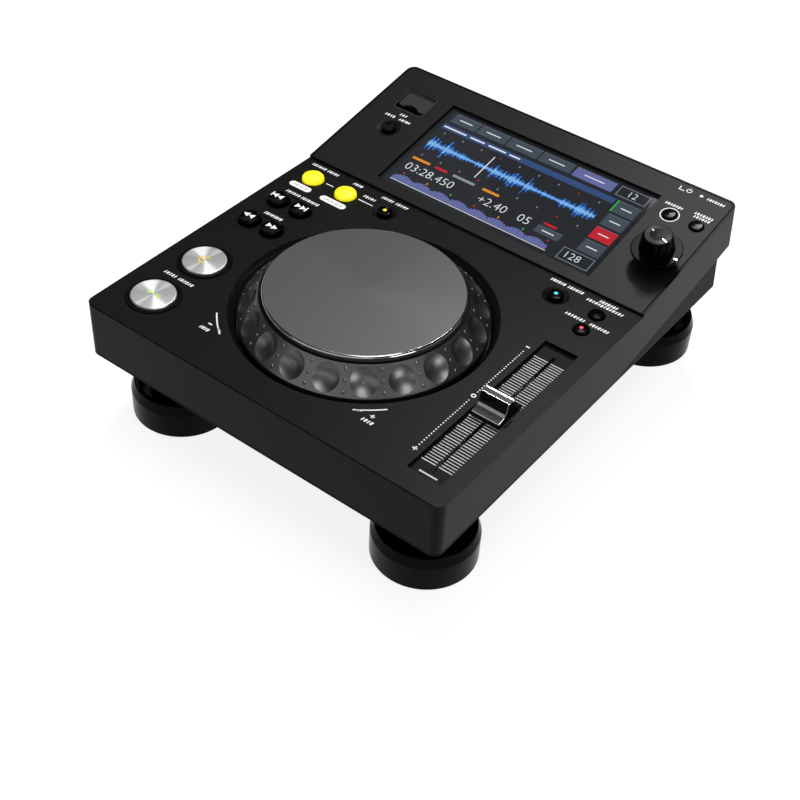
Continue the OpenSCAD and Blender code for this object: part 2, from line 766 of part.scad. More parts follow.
module ring_profile() {
    rise = [ring_top_r - ring_r, ring_top_z - ring_low_z];
    inward = [-rise[1], rise[0]] / norm(rise) * ring_wall;
    hub_low = -well_depth + bush_collar_t + 0.1;
    polygon([
        [shaft_r + seat, hub_low], [hub_r, hub_low], [hub_r, -web_t / 2], [ring_seat_r + web_t, -web_t / 2],
        [ring_seat_r + web_t, ring_seat_z - 4], [ring_top_r + inward[0], ring_seat_z - 4],
        [ring_r - 4, ring_low_z - 1.6], [ring_r - 4, ring_bottom], [ring_r, ring_bottom], [ring_r, ring_low_z],
        [ring_top_r, ring_top_z], [ring_groove_r, ring_top_z], [ring_groove_r, ring_seat_z],
        [ring_seat_r, ring_seat_z], [ring_seat_r, web_t / 2], [hub_r, web_t / 2], [hub_r, 4],
        [shaft_r + seat, 4]]);
}
module jog_ring() {
    mid = [(ring_r + ring_top_r) / 2, (ring_low_z + ring_top_z) / 2];
    lean = atan2(ring_r - ring_top_r, ring_top_z - ring_low_z);
    ball_r = (dimple_r * dimple_r + dimple_depth * dimple_depth) / (2 * dimple_depth);
    color([0.16, 0.16, 0.17])
        jog() difference() {
            rotate_extrude($fn = 96) ring_profile();
            for (i = [0:dimple_count - 1])
                rotate([0, 0, dimple_phase + i * 360 / dimple_count])
                    translate([mid[0], 0, mid[1]])
                        rotate([0, 90 - lean, 0])
                            translate([0, 0, ball_r - dimple_depth]) sphere(ball_r);
        }
}
module jog_top() {
    edge_r = ring_groove_r - 0.9;
    color([0.42, 0.42, 0.43])
        jog() rotate_extrude($fn = 96)
            polygon([
                [0, plate_z - 3], [0, plate_z], [plate_r, plate_z], [edge_r, plate_z - 1],
                [edge_r, ring_seat_z], [edge_r - 2.5, ring_seat_z], [edge_r - 2.5, plate_z - 3]]);
}
module jog_shaft() {
    color([0.75, 0.75, 0.77])
        jog() translate([0, 0, shaft_low_z]) cylinder(r = shaft_r, h = 10 - shaft_low_z);
}
module encoder_disc() {
    color([0.3, 0.3, 0.32])
        jog() difference() {
            union() {
                translate([0, 0, disc_z]) cylinder(r = disc_r, h = disc_t);
                translate([0, 0, disc_z]) cylinder(r = disc_hub_r, h = disc_hub_top - disc_z);
            }
            translate([0, 0, disc_z - 5]) cylinder(r = shaft_r + seat, h = 10);
        }
}
module jog_sensor() {
    color([0.1, 0.1, 0.1])
        jog() translate([0, disc_r - 2, 0])
            difference() {
                bar([-sensor_w / 2, sensor_w / 2], [-3, sensor_l - 3], [board_z, disc_z + disc_t + 3]);
                bar([-sensor_w, sensor_w], [-3 - cut, 3], [disc_z - 0.8, disc_z + disc_t + 0.8]);
            }
}

// Tempo fader
module fader_plate() {
    w = recess_w + 2 * plate_rim;
    l = recess_l + 2 * plate_rim;
    color([0.14, 0.14, 0.15])
        deck([fader_x, fader_y], -recess_depth - plate_t)
            difference() {
                translate([-w / 2, -l / 2, 0]) cube([w, l, plate_t]);
                translate([-slot_w / 2, -(fader_travel + stem_l) / 2 - 1, -cut])
                    cube([slot_w, fader_travel + stem_l + 2, plate_t + 2 * cut]);
            }
}
module fader_body() {
    l = fader_travel + stem_l + 2 * fader_end;
    top = -recess_depth - plate_t;
    color([0.55, 0.56, 0.58])
        deck([fader_x, fader_y])
            difference() {
                bar([-fader_body_w / 2, fader_body_w / 2], [-l / 2, l / 2], [fader_body_low, top]);
                bar([-slot_w / 2, slot_w / 2], [-l / 2 + fader_end - 1, l / 2 - fader_end + 1],
                    [top - 2, top + cut]);
                bar([-fader_body_w / 2 + 1, fader_body_w / 2 - 1], [-l / 2 + 1, l / 2 - 1],
                    [fader_body_low + 1, top - 1]);
            }
    // the two guide rods of the carriage
    color([0.8, 0.8, 0.82])
        deck([fader_x, fader_y])
            for (x = [-rod_x, rod_x])
                translate([x, -l / 2 + 0.5, stem_low_z - carriage_t / 2])
                    rotate([-90, 0, 0]) cylinder(r = rod_r, h = l - 1);
}
module fader_stem() {
    color([0.7, 0.7, 0.72])
        deck([fader_x, fader_y])
            difference() {
                union() {
                    bar([-stem_w / 2, stem_w / 2], [-stem_l / 2, stem_l / 2],
                        [stem_low_z - tiny, stem_top_z]);
                    bar([-carriage_w / 2, carriage_w / 2], [-carriage_l / 2, carriage_l / 2],
                        [stem_low_z - carriage_t, stem_low_z]);
                }
                for (x = [-rod_x, rod_x])
                    translate([x, -carriage_l / 2 - cut, stem_low_z - carriage_t / 2])
                        rotate([-90, 0, 0]) cylinder(r = rod_r + running, h = carriage_l + 2 * cut);
            }
}
module fader_cap() {
    low = -recess_depth + 0.4;
    lip = cap_l / 2;
    dip = cap_h * 0.18;
    side = [
        [-lip, low], [-lip, dip - 0.9], [-lip + 0.5, dip - 0.4], [-lip * 0.76, dip], [-lip * 0.56, dip + 0.7],
        [-lip * 0.43, dip + 1.9], [-lip * 0.34, dip + 3.8], [-lip * 0.27, cap_h - 0.5],
        [-lip * 0.22, cap_h]];
    mirrored = [for (i = [len(side) - 1:-1:0]) [-side[i][0], side[i][1]]];
    color([0.08, 0.08, 0.09])
        deck([fader_x, fader_y])
            difference() {
                rotate([90, 0, 90]) linear_extrude(cap_w, center = true) polygon(concat(side, mirrored));
                bar([-stem_w / 2 - seat, stem_w / 2 + seat], [-stem_l / 2 - seat, stem_l / 2 + seat],
                    [low - cut, stem_top_z]);
            }
}

// Keys and their bezels
module bezel(p) {
    r = play_r + key_gap;
    color([0.05, 0.05, 0.06])
        deck(p) rotate_extrude()
            polygon([
                [r, -wall - 1.2], [r, 0], [r + 0.5, 0.6], [r + bezel_w - 0.4, 0.6], [r + bezel_w, 0.2],
                [r + bezel_w, -wall], [r + bezel_w + 1.4, -wall], [r + bezel_w + 1.4, -wall - 1.2]]);
}
module big_key(p) {
    // the flange sits under the bezel ring, so it lies deeper than a small key's
    color([0.8, 0.8, 0.8])
        deck(p) rotate_extrude()
            polygon(concat(
                [[0, -key_stem_z], [3, -key_stem_z], [3, -wall - 3.5], [play_r + 1, -wall - 3.5],
                 [play_r + 1, -wall - 1.2 - key_gap], [play_r, -wall - 1.2 - key_gap]],
                [for (a = [0:22.5:90]) [play_r - 0.8 + 0.8 * cos(a), play_up - 0.8 + 0.8 * sin(a)]],
                [[0, play_up]]));
}
module play_bezel() bezel(play_pos);
module cue_bezel() bezel(cue_pos);
module play_button() big_key(play_pos);
module cue_button() big_key(cue_pos);
module search_back() color([0.06, 0.06, 0.07]) deck(search_pos[0]) key(search_r, search_up, 1.6);
module search_forward() color([0.06, 0.06, 0.07]) deck(search_pos[1]) key(search_r, search_up, 1.6);
module track_back() color([0.06, 0.06, 0.07]) deck(track_pos[0]) key(search_r, search_up, 1.6);
module track_forward() color([0.06, 0.06, 0.07]) deck(track_pos[1]) key(search_r, search_up, 1.6);
module loop_in() color([1, 0.95, 0]) deck(loop_pos[0]) key(loop_r, loop_up, 2.2);
module loop_out() color([1, 0.95, 0]) deck(loop_pos[1]) key(loop_r, loop_up, 2.2);
module reloop_button() color([0.06, 0.06, 0.07]) deck(reloop_pos) key(small_r, small_up);
module vinyl_button() color([0.06, 0.06, 0.07]) deck(vinyl_pos) key(small_r, small_up);
module range_button() color([0.06, 0.06, 0.07]) deck(range_pos) key(small_r, small_up);
module master_button() color([0.06, 0.06, 0.07]) deck(master_pos) key(small_r, small_up);
module stop_button() color([0.06, 0.06, 0.07]) slope(stop_pos) key(small_r, small_up);
module back_button() color([0.06, 0.06, 0.07]) slope(back_pos) key(small_r - 0.4, small_up - 0.3);
module tag_button() color([0.06, 0.06, 0.07]) slope(tag_pos) key(small_r - 0.3, small_up - 0.3);

// Rotary selector: knob on its shaft, push plunger inside the encoder
module selector() {
    slope([selector_x, selector_v]) children();
}
module selector_knob() {
    grip_n = flange_n + flange_t;
    top = grip_n + grip_h;
    color([0.09, 0.09, 0.1])
        selector() difference() {
            rotate_extrude()
                polygon([
                    [0, neck_gap], [neck_r - 0.6, neck_gap], [neck_r, neck_gap + 0.6], [neck_r, flange_n - 1],
                    [neck_r + 1, flange_n], [flange_r - 0.4, flange_n], [flange_r, flange_n + 0.5],
                    [flange_r, grip_n - 0.4], [flange_r - 0.5, grip_n], [grip_r, grip_n],
                    [grip_top_r, top - 0.9], [grip_top_r - 0.8, top], [0, top + 0.3]]);
            for (i = [0:flute_count - 1])
                rotate([0, 0, i * 360 / flute_count])
                    translate([grip_r + flute_r - 0.9, 0, grip_n + 0.6])
                        rotate([0, -atan((grip_r - grip_top_r) / grip_h), 0])
                            cylinder(r = flute_r, h = grip_h + 2, $fn = 24);
            translate([0, 0, neck_gap - cut])
                cylinder(r = bushing_r + 0.5, h = bushing_top_n - neck_gap + 1 + cut);
            translate([0, 0, -cut]) cylinder(r = selector_shaft_r + seat, h = selector_shaft_top + cut);
        }
}
module selector_shaft() {
    low = encoder_top_n - 2;
    color([0.75, 0.75, 0.77])
        selector() translate([0, 0, low]) cylinder(r = selector_shaft_r, h = selector_shaft_top - low);
}
module selector_plunger() {
    low = encoder_top_n - 2 - plunger_h;
    color([0.9, 0.9, 0.85]) selector() translate([0, 0, low]) cylinder(r = plunger_r, h = plunger_h);
}
module selector_encoder() {
    floor_n = -key_board_z;
    color([0.4, 0.42, 0.44])
        selector() difference() {
            union() {
                translate([-encoder_w / 2, -encoder_w / 2, floor_n])
                    cube([encoder_w, encoder_w, encoder_top_n - floor_n]);
                translate([0, 0, encoder_top_n - tiny])
                    cylinder(r = bushing_r, h = bushing_top_n - encoder_top_n + tiny);
            }
            translate([0, 0, encoder_top_n - 2 - selector_travel - 0.2])
                cylinder(r = selector_shaft_r + running, h = bushing_top_n - encoder_top_n + 2 * cut + 3);
            translate([0, 0, encoder_top_n - 2 - plunger_h - selector_travel - 0.3])
                cylinder(r = chamber_r, h = plunger_h + 1);
        }
}

// USB bay, its socket and hinged cover
module usb_bay() {
    w = bay_w + 2 * bay_rim;
    l = bay_l + 2 * bay_rim;
    color([0.07, 0.07, 0.08])
        slope([bay_x, bay_v])
            difference() {
                union() {
                    translate([0, 0, -bay_depth - 1.2])
                        slab(w, l, bay_depth + 0.9, bay_corner_r + bay_rim);
                    // flange under the housing
                    translate([0, 0, inner_n - 1.2]) slab(w + 3, l + 3, 1.2, bay_corner_r + bay_rim);
                }
                translate([0, 0, -bay_depth]) slab(bay_w, bay_l, bay_depth + cut, bay_corner_r);
                translate([-socket_w / 2 - seat, -socket_t / 2 - seat, -bay_depth - 3])
                    cube([socket_w + 2 * seat, socket_t + 2 * seat, 5]);
                translate([-bay_w / 2 - 0.8, pin_v - bay_v, pin_n])
                    rotate([0, 90, 0]) cylinder(r = pin_r, h = bay_w + 1.6);
            }
}
module usb_socket() {
    color([0.75, 0.75, 0.77])
        slope([bay_x, bay_v], -bay_depth - socket_len + 1)
            difference() {
                translate([-socket_w / 2, -socket_t / 2, 0]) cube([socket_w, socket_t, socket_len]);
                difference() {
                    translate([-socket_w / 2 + metal_t, -socket_t / 2 + metal_t, 2])
                        cube([socket_w - 2 * metal_t, socket_t - 2 * metal_t, socket_len]);
                    translate([-5.5, -0.3, 0]) cube([11, 1.9, socket_len - 1]);
                }
            }
}
// What rounding takes off an upright corner, to its left or its right
module corner_cut(r, h, side) {
    difference() {
        translate([-r, -r, 0]) cube([2 * r, 2 * r, h]);
        translate([-side * r, r, -cut]) cylinder(r = r, h = h + 2 * cut);
    }
}
module usb_cover() {
    front = bay_v - bay_l / 2 + finger_room;
    w = bay_w - 2 * cover_gap;
    color([0.16, 0.16, 0.17])
        difference() {
            union() {
                slope([bay_x - w / 2, front], pin_n - cover_t / 2)
                    difference() {
                        cube([w, pin_v - front, cover_t]);
                        // corners rounded like the opening's
                        for (side = [-1, 1])
                            translate([w / 2 + side * w / 2, 0, -cut])
                                corner_cut(bay_corner_r, cover_t + 2 * cut, side);
                    }
                slope([bay_x - w / 2 + bay_corner_r / 2, pin_v], pin_n)
                    rotate([0, 90, 0]) cylinder(r = knuckle_r, h = w - bay_corner_r);
            }
            slope([bay_x, front - notch_r * 0.62], pin_n - 3) cylinder(r = notch_r, h = 6);
            slope([bay_x - w / 2 - cut, pin_v], pin_n)
                rotate([0, 90, 0]) cylinder(r = pin_r + running, h = w + 2 * cut);
        }
}
module cover_pin() {
    color([0.75, 0.75, 0.77])
        slope([bay_x - bay_w / 2 - 0.8, pin_v], pin_n)
            rotate([0, 90, 0]) cylinder(r = pin_r, h = bay_w + 1.6);
}
module standby_lamp() {
    color([0.9, 0.9, 0.9]) slope([lamp_x, lamp_v], inner_n - 2) cylinder(r = lamp_r, h = -inner_n + 2);
}

// Rear sockets, on the jack board
module phono_jacks() {
    color([0.72, 0.6, 0.3])
        for (i = [0, 1])
            rear(phono_x + i * phono_pitch, 0) {
                translate([-phono_block[0] / 2, -phono_block[1] - phono_back + 0.1, 0]) cube(phono_block);
                translate([0, 0, phono_h]) rotate([-90, 0, 0])
                    difference() {
                        translate([0, 0, -phono_back]) {
                            cylinder(r = phono_collar_r, h = phono_back + phono_collar);
                            cylinder(r = phono_r, h = phono_back + phono_len);
                        }
                        cylinder(r = phono_bore_r, h = phono_len + cut);
                    }
            }
}
module usb_b_socket() {
    color([0.75, 0.75, 0.77])
        rear(usb_b_x, 0)
            difference() {
                translate([-usb_b_block[0] / 2, -usb_b_block[1], 0]) cube(usb_b_block);
                difference() {
                    translate([-4.2, -9, 1.6]) cube([8.4, 10, 7.8]);
                    translate([-2.8, -10, 3.9]) cube([5.6, 9, 3.2]);
                }
            }
}
module lan_socket() {
    color([0.72, 0.73, 0.75])
        rear(lan_x, 0)
            difference() {
                translate([-lan_block[0] / 2, -lan_block[1], 0]) cube(lan_block);
                translate([-5.9, -13, 3]) cube([11.8, 14, 8.2]);
                translate([-3, -13, 1.2]) cube([6, 14, 3]);
            }
}
module dc_inlet() {
    color([0.06, 0.06, 0.07])
        rear(dc_x, 0)
            difference() {
                translate([-dc_block[0] / 2, -dc_block[1], 0]) cube(dc_block);
                difference() {
                    translate([0, 1, 6.5]) rotate([90, 0, 0]) cylinder(r = 3.2, h = 11);
                    translate([0, 1, 6.5]) rotate([90, 0, 0]) cylinder(r = 1, h = 11);
                }
            }
}
module power_button() {
    color([0.1, 0.1, 0.11])
        rear(power_x, power_h)
            rotate([-90, 0, 0])
                rotate_extrude()
                    polygon([
                        [0, -7], [1.6, -7], [1.6, -3.6], [power_r + key_flange, -3.6],
                        [power_r + key_flange, -2.4], [power_r, -2.4], [power_r, 2], [power_r - 0.5, 2.5],
                        [0, 2.5]]);
}

// Circuit boards and switches
module board_outline(points, top) {
    translate([0, 0, top - board_t]) linear_extrude(board_t) polygon(points);
}
module key_boards() {
    color([0.1, 0.35, 0.16])
        deck([0, 0]) {
            board_outline(left_board, -key_board_z);
            board_outline(right_board, -key_board_z);
        }
}
module panel_boards() {
    color([0.1, 0.35, 0.16])
        slope([0, 0]) {
            difference() {
                bar(usb_board_x, usb_board_v, [-key_board_z - board_t, -key_board_z]);
                translate([bay_x, bay_v, -key_board_z - board_t - cut])
                    linear_extrude(board_t + 2 * cut)
                        square([socket_w + 2 * seat, socket_t + 2 * seat], center = true);
            }
            bar(select_board_x, select_board_v, [-key_board_z - board_t, -key_board_z]);
        }
}
module main_board() {
    color([0.1, 0.35, 0.16]) deck([0, 0]) bar(main_x, main_y, [board_z - board_t, board_z]);
}
module jack_board() {
    color([0.1, 0.35, 0.16])
        deck([0, 0]) {
            bar(jack_x, jack_y, [board_z - board_t, board_z]);
            for (x = [jack_x[0] + jack_leg_in, jack_x[1] - jack_leg_in])
                translate([x, jack_y[0] + jack_leg_in, floor_z]) cylinder(r = jack_leg_r, h = board_lift);
        }
}
module key_switches() {
    color([0.3, 0.3, 0.32]) {
        for (p = deck_switch_pos) deck(p) tact_switch();
        for (p = slope_switch_pos) slope(p) tact_switch();
        rear(power_x, 0) translate([-3, -12, 0]) cube([6, 3.7, power_h + 3]);
    }
}

// Feet and screws: a hollow moulded foot with a rubber pad set into its underside
module at_foot(p, z = 0) {
    translate([p[0] - body_w / 2, p[1] - overall_d / 2, z]) children();
}
module foot(p) {
    side = foot_side_h;
    top = foot_side_h + foot_shoulder_h;
    inner_r = foot_r - foot_wall;
    rim_r = foot_r - foot_shoulder_in - foot_rim;
    color([0.06, 0.06, 0.06])
        at_foot(p) rotate_extrude()
            polygon([
                [inner_r, pad_show], [foot_r - 0.6, pad_show], [foot_r, pad_show + 0.6], [foot_r, side],
                [foot_r - foot_shoulder_in, top], [foot_r - foot_shoulder_in - 0.6, top + 0.3],
                [rim_r, top + 0.3], [rim_r - 0.8, foot_well_z], [foot_neck_r, foot_well_z],
                [foot_neck_r, foot_h], [foot_screw_r + seat, foot_h],
                [foot_screw_r + seat, foot_h - foot_web], [foot_head_r + 1, foot_h - foot_web],
                [foot_head_r + 1, pad_t], [foot_tube_r, pad_t],
                [foot_tube_r, foot_well_z - foot_floor], [inner_r, foot_well_z - foot_floor]]);
}
module foot_front_left() foot(foot_pos[0]);
module foot_front_right() foot(foot_pos[1]);
module foot_rear_left() foot(foot_pos[2]);
module foot_rear_right() foot(foot_pos[3]);
module foot_pads() {
    color([0.03, 0.03, 0.03])
        for (p = foot_pos)
            at_foot(p) rotate_extrude()
                polygon([
                    [foot_head_r + 1, 0], [foot_r - foot_wall - 1, 0], [foot_r - foot_wall, 0.5],
                    [foot_r - foot_wall, pad_t], [foot_head_r + 1, pad_t]]);
}
module foot_screws() {
    head_z = foot_h - foot_web - foot_head_h;
    color([0.7, 0.7, 0.72])
        for (p = foot_pos)
            at_foot(p, head_z) {
                cylinder(r = foot_head_r, h = foot_head_h);
                cylinder(r = foot_screw_r, h = foot_head_h + foot_web + floor_t + foot_boss_h);
            }
}
module case_screws() {
    color([0.25, 0.25, 0.26])
        for (p = boss_pos)
            deck(p, under_z + 0.2) {
                cylinder(r = screw_head_r, h = screw_head_h - 0.2);
                cylinder(r = screw_r, h = floor_t + screw_grip - 1);
            }
}

top_shell();
bottom_chassis();
display_panel();
touch_glass();
lcd_module();
display_bracket();
jog_well();
jog_bearing();
jog_ring();
jog_top();
jog_shaft();
encoder_disc();
jog_sensor();
fader_plate();
fader_body();
fader_stem();
fader_cap();
play_bezel();
cue_bezel();
play_button();
cue_button();
search_back();
search_forward();
track_back();
track_forward();
loop_in();
loop_out();
reloop_button();
vinyl_button();
range_button();
master_button();
stop_button();
back_button();
tag_button();
selector_knob();
selector_shaft();
selector_plunger();
selector_encoder();
usb_bay();
usb_socket();
usb_cover();
cover_pin();
standby_lamp();
phono_jacks();
usb_b_socket();
lan_socket();
dc_inlet();
power_button();
key_boards();
panel_boards();
main_board();
jack_board();
key_switches();
foot_front_left();
foot_front_right();
foot_rear_left();
foot_rear_right();
foot_pads();
foot_screws();
case_screws();
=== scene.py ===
"""Looks of a tabletop DJ media player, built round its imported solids. Lengths are metres unless said."""

import math

import bmesh
import bpy
from mathutils import Matrix, Vector


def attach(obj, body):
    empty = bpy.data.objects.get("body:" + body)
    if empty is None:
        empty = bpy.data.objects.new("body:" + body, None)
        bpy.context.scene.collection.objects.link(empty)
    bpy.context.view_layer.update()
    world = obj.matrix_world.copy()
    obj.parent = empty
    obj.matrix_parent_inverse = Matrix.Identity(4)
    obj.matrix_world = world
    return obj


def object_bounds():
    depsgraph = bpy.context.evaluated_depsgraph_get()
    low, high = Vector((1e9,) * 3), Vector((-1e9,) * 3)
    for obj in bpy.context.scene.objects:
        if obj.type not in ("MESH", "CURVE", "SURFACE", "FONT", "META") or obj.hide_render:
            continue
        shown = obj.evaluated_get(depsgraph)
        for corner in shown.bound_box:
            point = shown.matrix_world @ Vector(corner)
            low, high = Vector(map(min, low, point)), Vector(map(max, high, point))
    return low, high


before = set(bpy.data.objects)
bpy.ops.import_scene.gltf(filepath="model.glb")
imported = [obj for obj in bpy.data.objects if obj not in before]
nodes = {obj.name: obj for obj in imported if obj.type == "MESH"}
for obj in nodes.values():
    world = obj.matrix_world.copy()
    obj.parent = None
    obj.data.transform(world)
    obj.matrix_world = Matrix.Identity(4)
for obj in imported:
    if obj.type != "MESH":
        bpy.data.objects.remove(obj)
cad_low, cad_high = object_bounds()

# Camera and studio.
# A long lens looks down on the deck from the front right, over a white floor. Soft panels light the player:
# the main one high behind it, wide weak ones all round and above, and a thin strip that edges the keys.
camera_data = bpy.data.cameras.new("camera")
camera_data.sensor_width = 36
camera_data.lens = 63.6
camera = bpy.data.objects.new("camera", camera_data)
camera.location = (0.3630, -0.5328, 0.5702)
camera.rotation_euler = [math.radians(angle) for angle in (47.264, -2.581, 37.531)]
bpy.context.collection.objects.link(camera)
bpy.context.scene.camera = camera
bpy.context.scene.view_settings.view_transform = "Standard"


def soft_panel(name, place, turn, width, height, power):
    """A soft rectangular lamp: place and size in metres, turn in degrees, power in watts."""
    light = bpy.data.lights.new(name, "AREA")
    light.shape = "RECTANGLE"
    light.size = width
    light.size_y = height
    light.energy = power
    lamp = bpy.data.objects.new(name, light)
    lamp.location = place
    lamp.rotation_euler = [math.radians(angle) for angle in turn]
    bpy.context.collection.objects.link(lamp)


soft_panel("main_panel", (-0.217, 0.755, 1.178), (35.6, 0, 196.0), 0.26, 0.26, 10)
soft_panel("left_panel", (-0.900, 0.471, 0.995), (-14.4, -8.3, 31.4), 0.8, 0.38, 1.3)
soft_panel("key_strip", (-0.782, 1.116, 0.576), (70, 0, 215), 0.03, 0.5, 0.25)
soft_panel("top_panel", (-0.331, 0.278, 1.411), (18, 0, 230), 0.6, 0.6, 5)
soft_panel("over_panel", (0.378, -0.192, 1.467), (17, 0, 63), 0.7, 0.7, 6)
soft_panel("right_panel", (1.306, -0.350, 0.442), (75, 0, 75), 0.6, 0.4, 4)
soft_panel("front_panel", (0.115, -1.319, 0.784), (62, 0, 5), 2.4, 0.6, 4)

world = bpy.data.worlds.new("studio")
bpy.context.scene.world = world
world.use_nodes = True
world.node_tree.nodes["Background"].inputs["Color"].default_value = (1, 1, 1, 1)
world.node_tree.nodes["Background"].inputs["Strength"].default_value = 0.06


def node_material(name):
    material = bpy.data.materials.new(name)
    material.use_nodes = True
    tree = material.node_tree
    return material, tree, tree.nodes["Principled BSDF"]


def floor_material():
    """White to the eye and in reflections, grey to all other light, so that it lights the player little."""
    material, tree, shader = node_material("floor_white")
    shader.inputs["Base Color"].default_value = (0.3, 0.3, 0.3, 1)
    shader.inputs["Roughness"].default_value = 0.9
    path = tree.nodes.new("ShaderNodeLightPath")
    glow = tree.nodes.new("ShaderNodeEmission")
    glow.inputs["Strength"].default_value = 0.85
    both = tree.nodes.new("ShaderNodeAddShader")
    mix = tree.nodes.new("ShaderNodeMixShader")
    output = tree.nodes["Material Output"]
    seen = tree.nodes.new("ShaderNodeMath")
    seen.operation = "MAXIMUM"
    also = tree.nodes.new("ShaderNodeMath")
    also.operation = "MAXIMUM"
    tree.links.new(path.outputs["Is Camera Ray"], seen.inputs[0])
    tree.links.new(path.outputs["Is Glossy Ray"], seen.inputs[1])
    tree.links.new(seen.outputs[0], also.inputs[0])
    tree.links.new(path.outputs["Is Transmission Ray"], also.inputs[1])
    tree.links.new(shader.outputs[0], both.inputs[0])
    tree.links.new(glow.outputs[0], both.inputs[1])
    tree.links.new(also.outputs[0], mix.inputs[0])
    tree.links.new(shader.outputs[0], mix.inputs[1])
    tree.links.new(both.outputs[0], mix.inputs[2])
    tree.links.new(mix.outputs[0], output.inputs["Surface"])
    return material


floor_half_width = 15
floor_mesh = bmesh.new()
bmesh.ops.create_grid(floor_mesh, x_segments=1, y_segments=1, size=floor_half_width)
floor_data = bpy.data.meshes.new("floor")
floor_mesh.to_mesh(floor_data)
floor_mesh.free()
floor = bpy.data.objects.new("floor", floor_data)
floor_data.materials.append(floor_material())
bpy.context.collection.objects.link(floor)


# Chassis: the lower case, with the walls under the tilted part and the holes for the sockets.
# Painted in a fine matt black, a little rougher than the moulded shell above it.
def moulded(name, colour, roughness, grain=0.0, stretch=(1, 1, 1), gloss=0.04, scale=900, rounding=0.0003,
            metal=0.0, coat=0.0, change=0.15):
    """A plastic, paint or satin metal with a grain that turns with the piece, and softly rounded edges."""
    material, tree, shader = node_material(name)
    shader.inputs["Specular IOR Level"].default_value = gloss
    shader.inputs["Metallic"].default_value = metal
    shader.inputs["Coat Weight"].default_value = coat
    shader.inputs["Coat Roughness"].default_value = 0.03
    place = tree.nodes.new("ShaderNodeTexCoord")
    turn = tree.nodes.new("ShaderNodeMapping")
    turn.inputs["Scale"].default_value = stretch
    noise = tree.nodes.new("ShaderNodeTexNoise")
    noise.inputs["Scale"].default_value = scale
    noise.inputs["Detail"].default_value = 4
    shade = tree.nodes.new("ShaderNodeMix")
    shade.data_type = "RGBA"
    shade.inputs["A"].default_value = [(1 - change) * part for part in colour] + [1]
    shade.inputs["B"].default_value = [(1 + change) * part for part in colour] + [1]
    rough = tree.nodes.new("ShaderNodeMapRange")
    rough.inputs["To Min"].default_value = 0.88 * roughness
    rough.inputs["To Max"].default_value = 1.12 * roughness
    edge = tree.nodes.new("ShaderNodeBevel")
    edge.samples = 4
    edge.inputs["Radius"].default_value = rounding
    bump = tree.nodes.new("ShaderNodeBump")
    bump.inputs["Strength"].default_value = grain
    bump.inputs["Distance"].default_value = 0.00005
    tree.links.new(place.outputs["Object"], turn.inputs["Vector"])
    tree.links.new(turn.outputs["Vector"], noise.inputs["Vector"])
    tree.links.new(noise.outputs["Fac"], shade.inputs["Factor"])
    tree.links.new(noise.outputs["Fac"], rough.inputs["Value"])
    tree.links.new(noise.outputs["Fac"], bump.inputs["Height"])
    tree.links.new(edge.outputs["Normal"], bump.inputs["Normal"])
    tree.links.new(shade.outputs["Result"], shader.inputs["Base Color"])
    tree.links.new(rough.outputs["Result"], shader.inputs["Roughness"])
    tree.links.new(bump.outputs["Normal"], shader.inputs["Normal"])
    return material


def finish(material, *names):
    for name in names:
        nodes[name].data.materials.clear()
        nodes[name].data.materials.append(material)


finish(moulded("chassis_black", (0.004, 0.004, 0.0041), 0.5, grain=0.3, scale=2500), "bottom_chassis")


# Circuit boards and the parts on them.
# Green lacquered glass-fibre boards with fine copper tracks, small black switches and plain steel parts.
def board_green():
    material, tree, shader = node_material("board_green")
    shader.inputs["Roughness"].default_value = 0.35
    place = tree.nodes.new("ShaderNodeTexCoord")
    bricks = tree.nodes.new("ShaderNodeTexBrick")
    bricks.inputs["Scale"].default_value = 220
    bricks.inputs["Mortar Size"].default_value = 0.03
    bricks.inputs["Color1"].default_value = (0.012, 0.10, 0.035, 1)
    bricks.inputs["Color2"].default_value = (0.010, 0.08, 0.028, 1)
    bricks.inputs["Mortar"].default_value = (0.03, 0.19, 0.07, 1)
    tree.links.new(place.outputs["Object"], bricks.inputs["Vector"])
    tree.links.new(bricks.outputs["Color"], shader.inputs["Base Color"])
    return material


finish(board_green(), "key_boards", "panel_boards", "main_board", "jack_board")
finish(moulded("switch_black", (0.02, 0.02, 0.02), 0.45, gloss=0.4), "key_switches", "jog_sensor")
finish(moulded("sheet_steel", (0.42, 0.43, 0.45), 0.32, grain=0.2, stretch=(0.05, 1, 1), metal=1.0),
       "display_bracket", "lcd_module", "fader_body", "fader_stem", "selector_encoder")
finish(moulded("turned_steel", (0.55, 0.55, 0.56), 0.22, grain=0.15, stretch=(1, 1, 0.1), metal=1.0),
       "jog_shaft", "selector_shaft", "cover_pin")
finish(moulded("plunger_white", (0.7, 0.7, 0.66), 0.4, gloss=0.4), "selector_plunger")
finish(moulded("bush_bronze", (0.45, 0.27, 0.11), 0.35, grain=0.2, metal=1.0), "jog_bearing")
finish(moulded("disc_film", (0.05, 0.05, 0.055), 0.25, gloss=0.5), "encoder_disc")

# Rear sockets and the power key.
# Pressed metal shells round the data sockets, gilded sleeves on the two sound jacks, black moulded parts.
finish(moulded("socket_steel", (0.5, 0.5, 0.52), 0.28, grain=0.2, metal=1.0),
       "usb_b_socket", "lan_socket", "usb_socket")
finish(moulded("jack_gilt", (0.75, 0.52, 0.2), 0.25, grain=0.1, metal=1.0), "phono_jacks")
finish(moulded("inlet_black", (0.01, 0.01, 0.01), 0.35, gloss=0.4), "dc_inlet", "power_button")

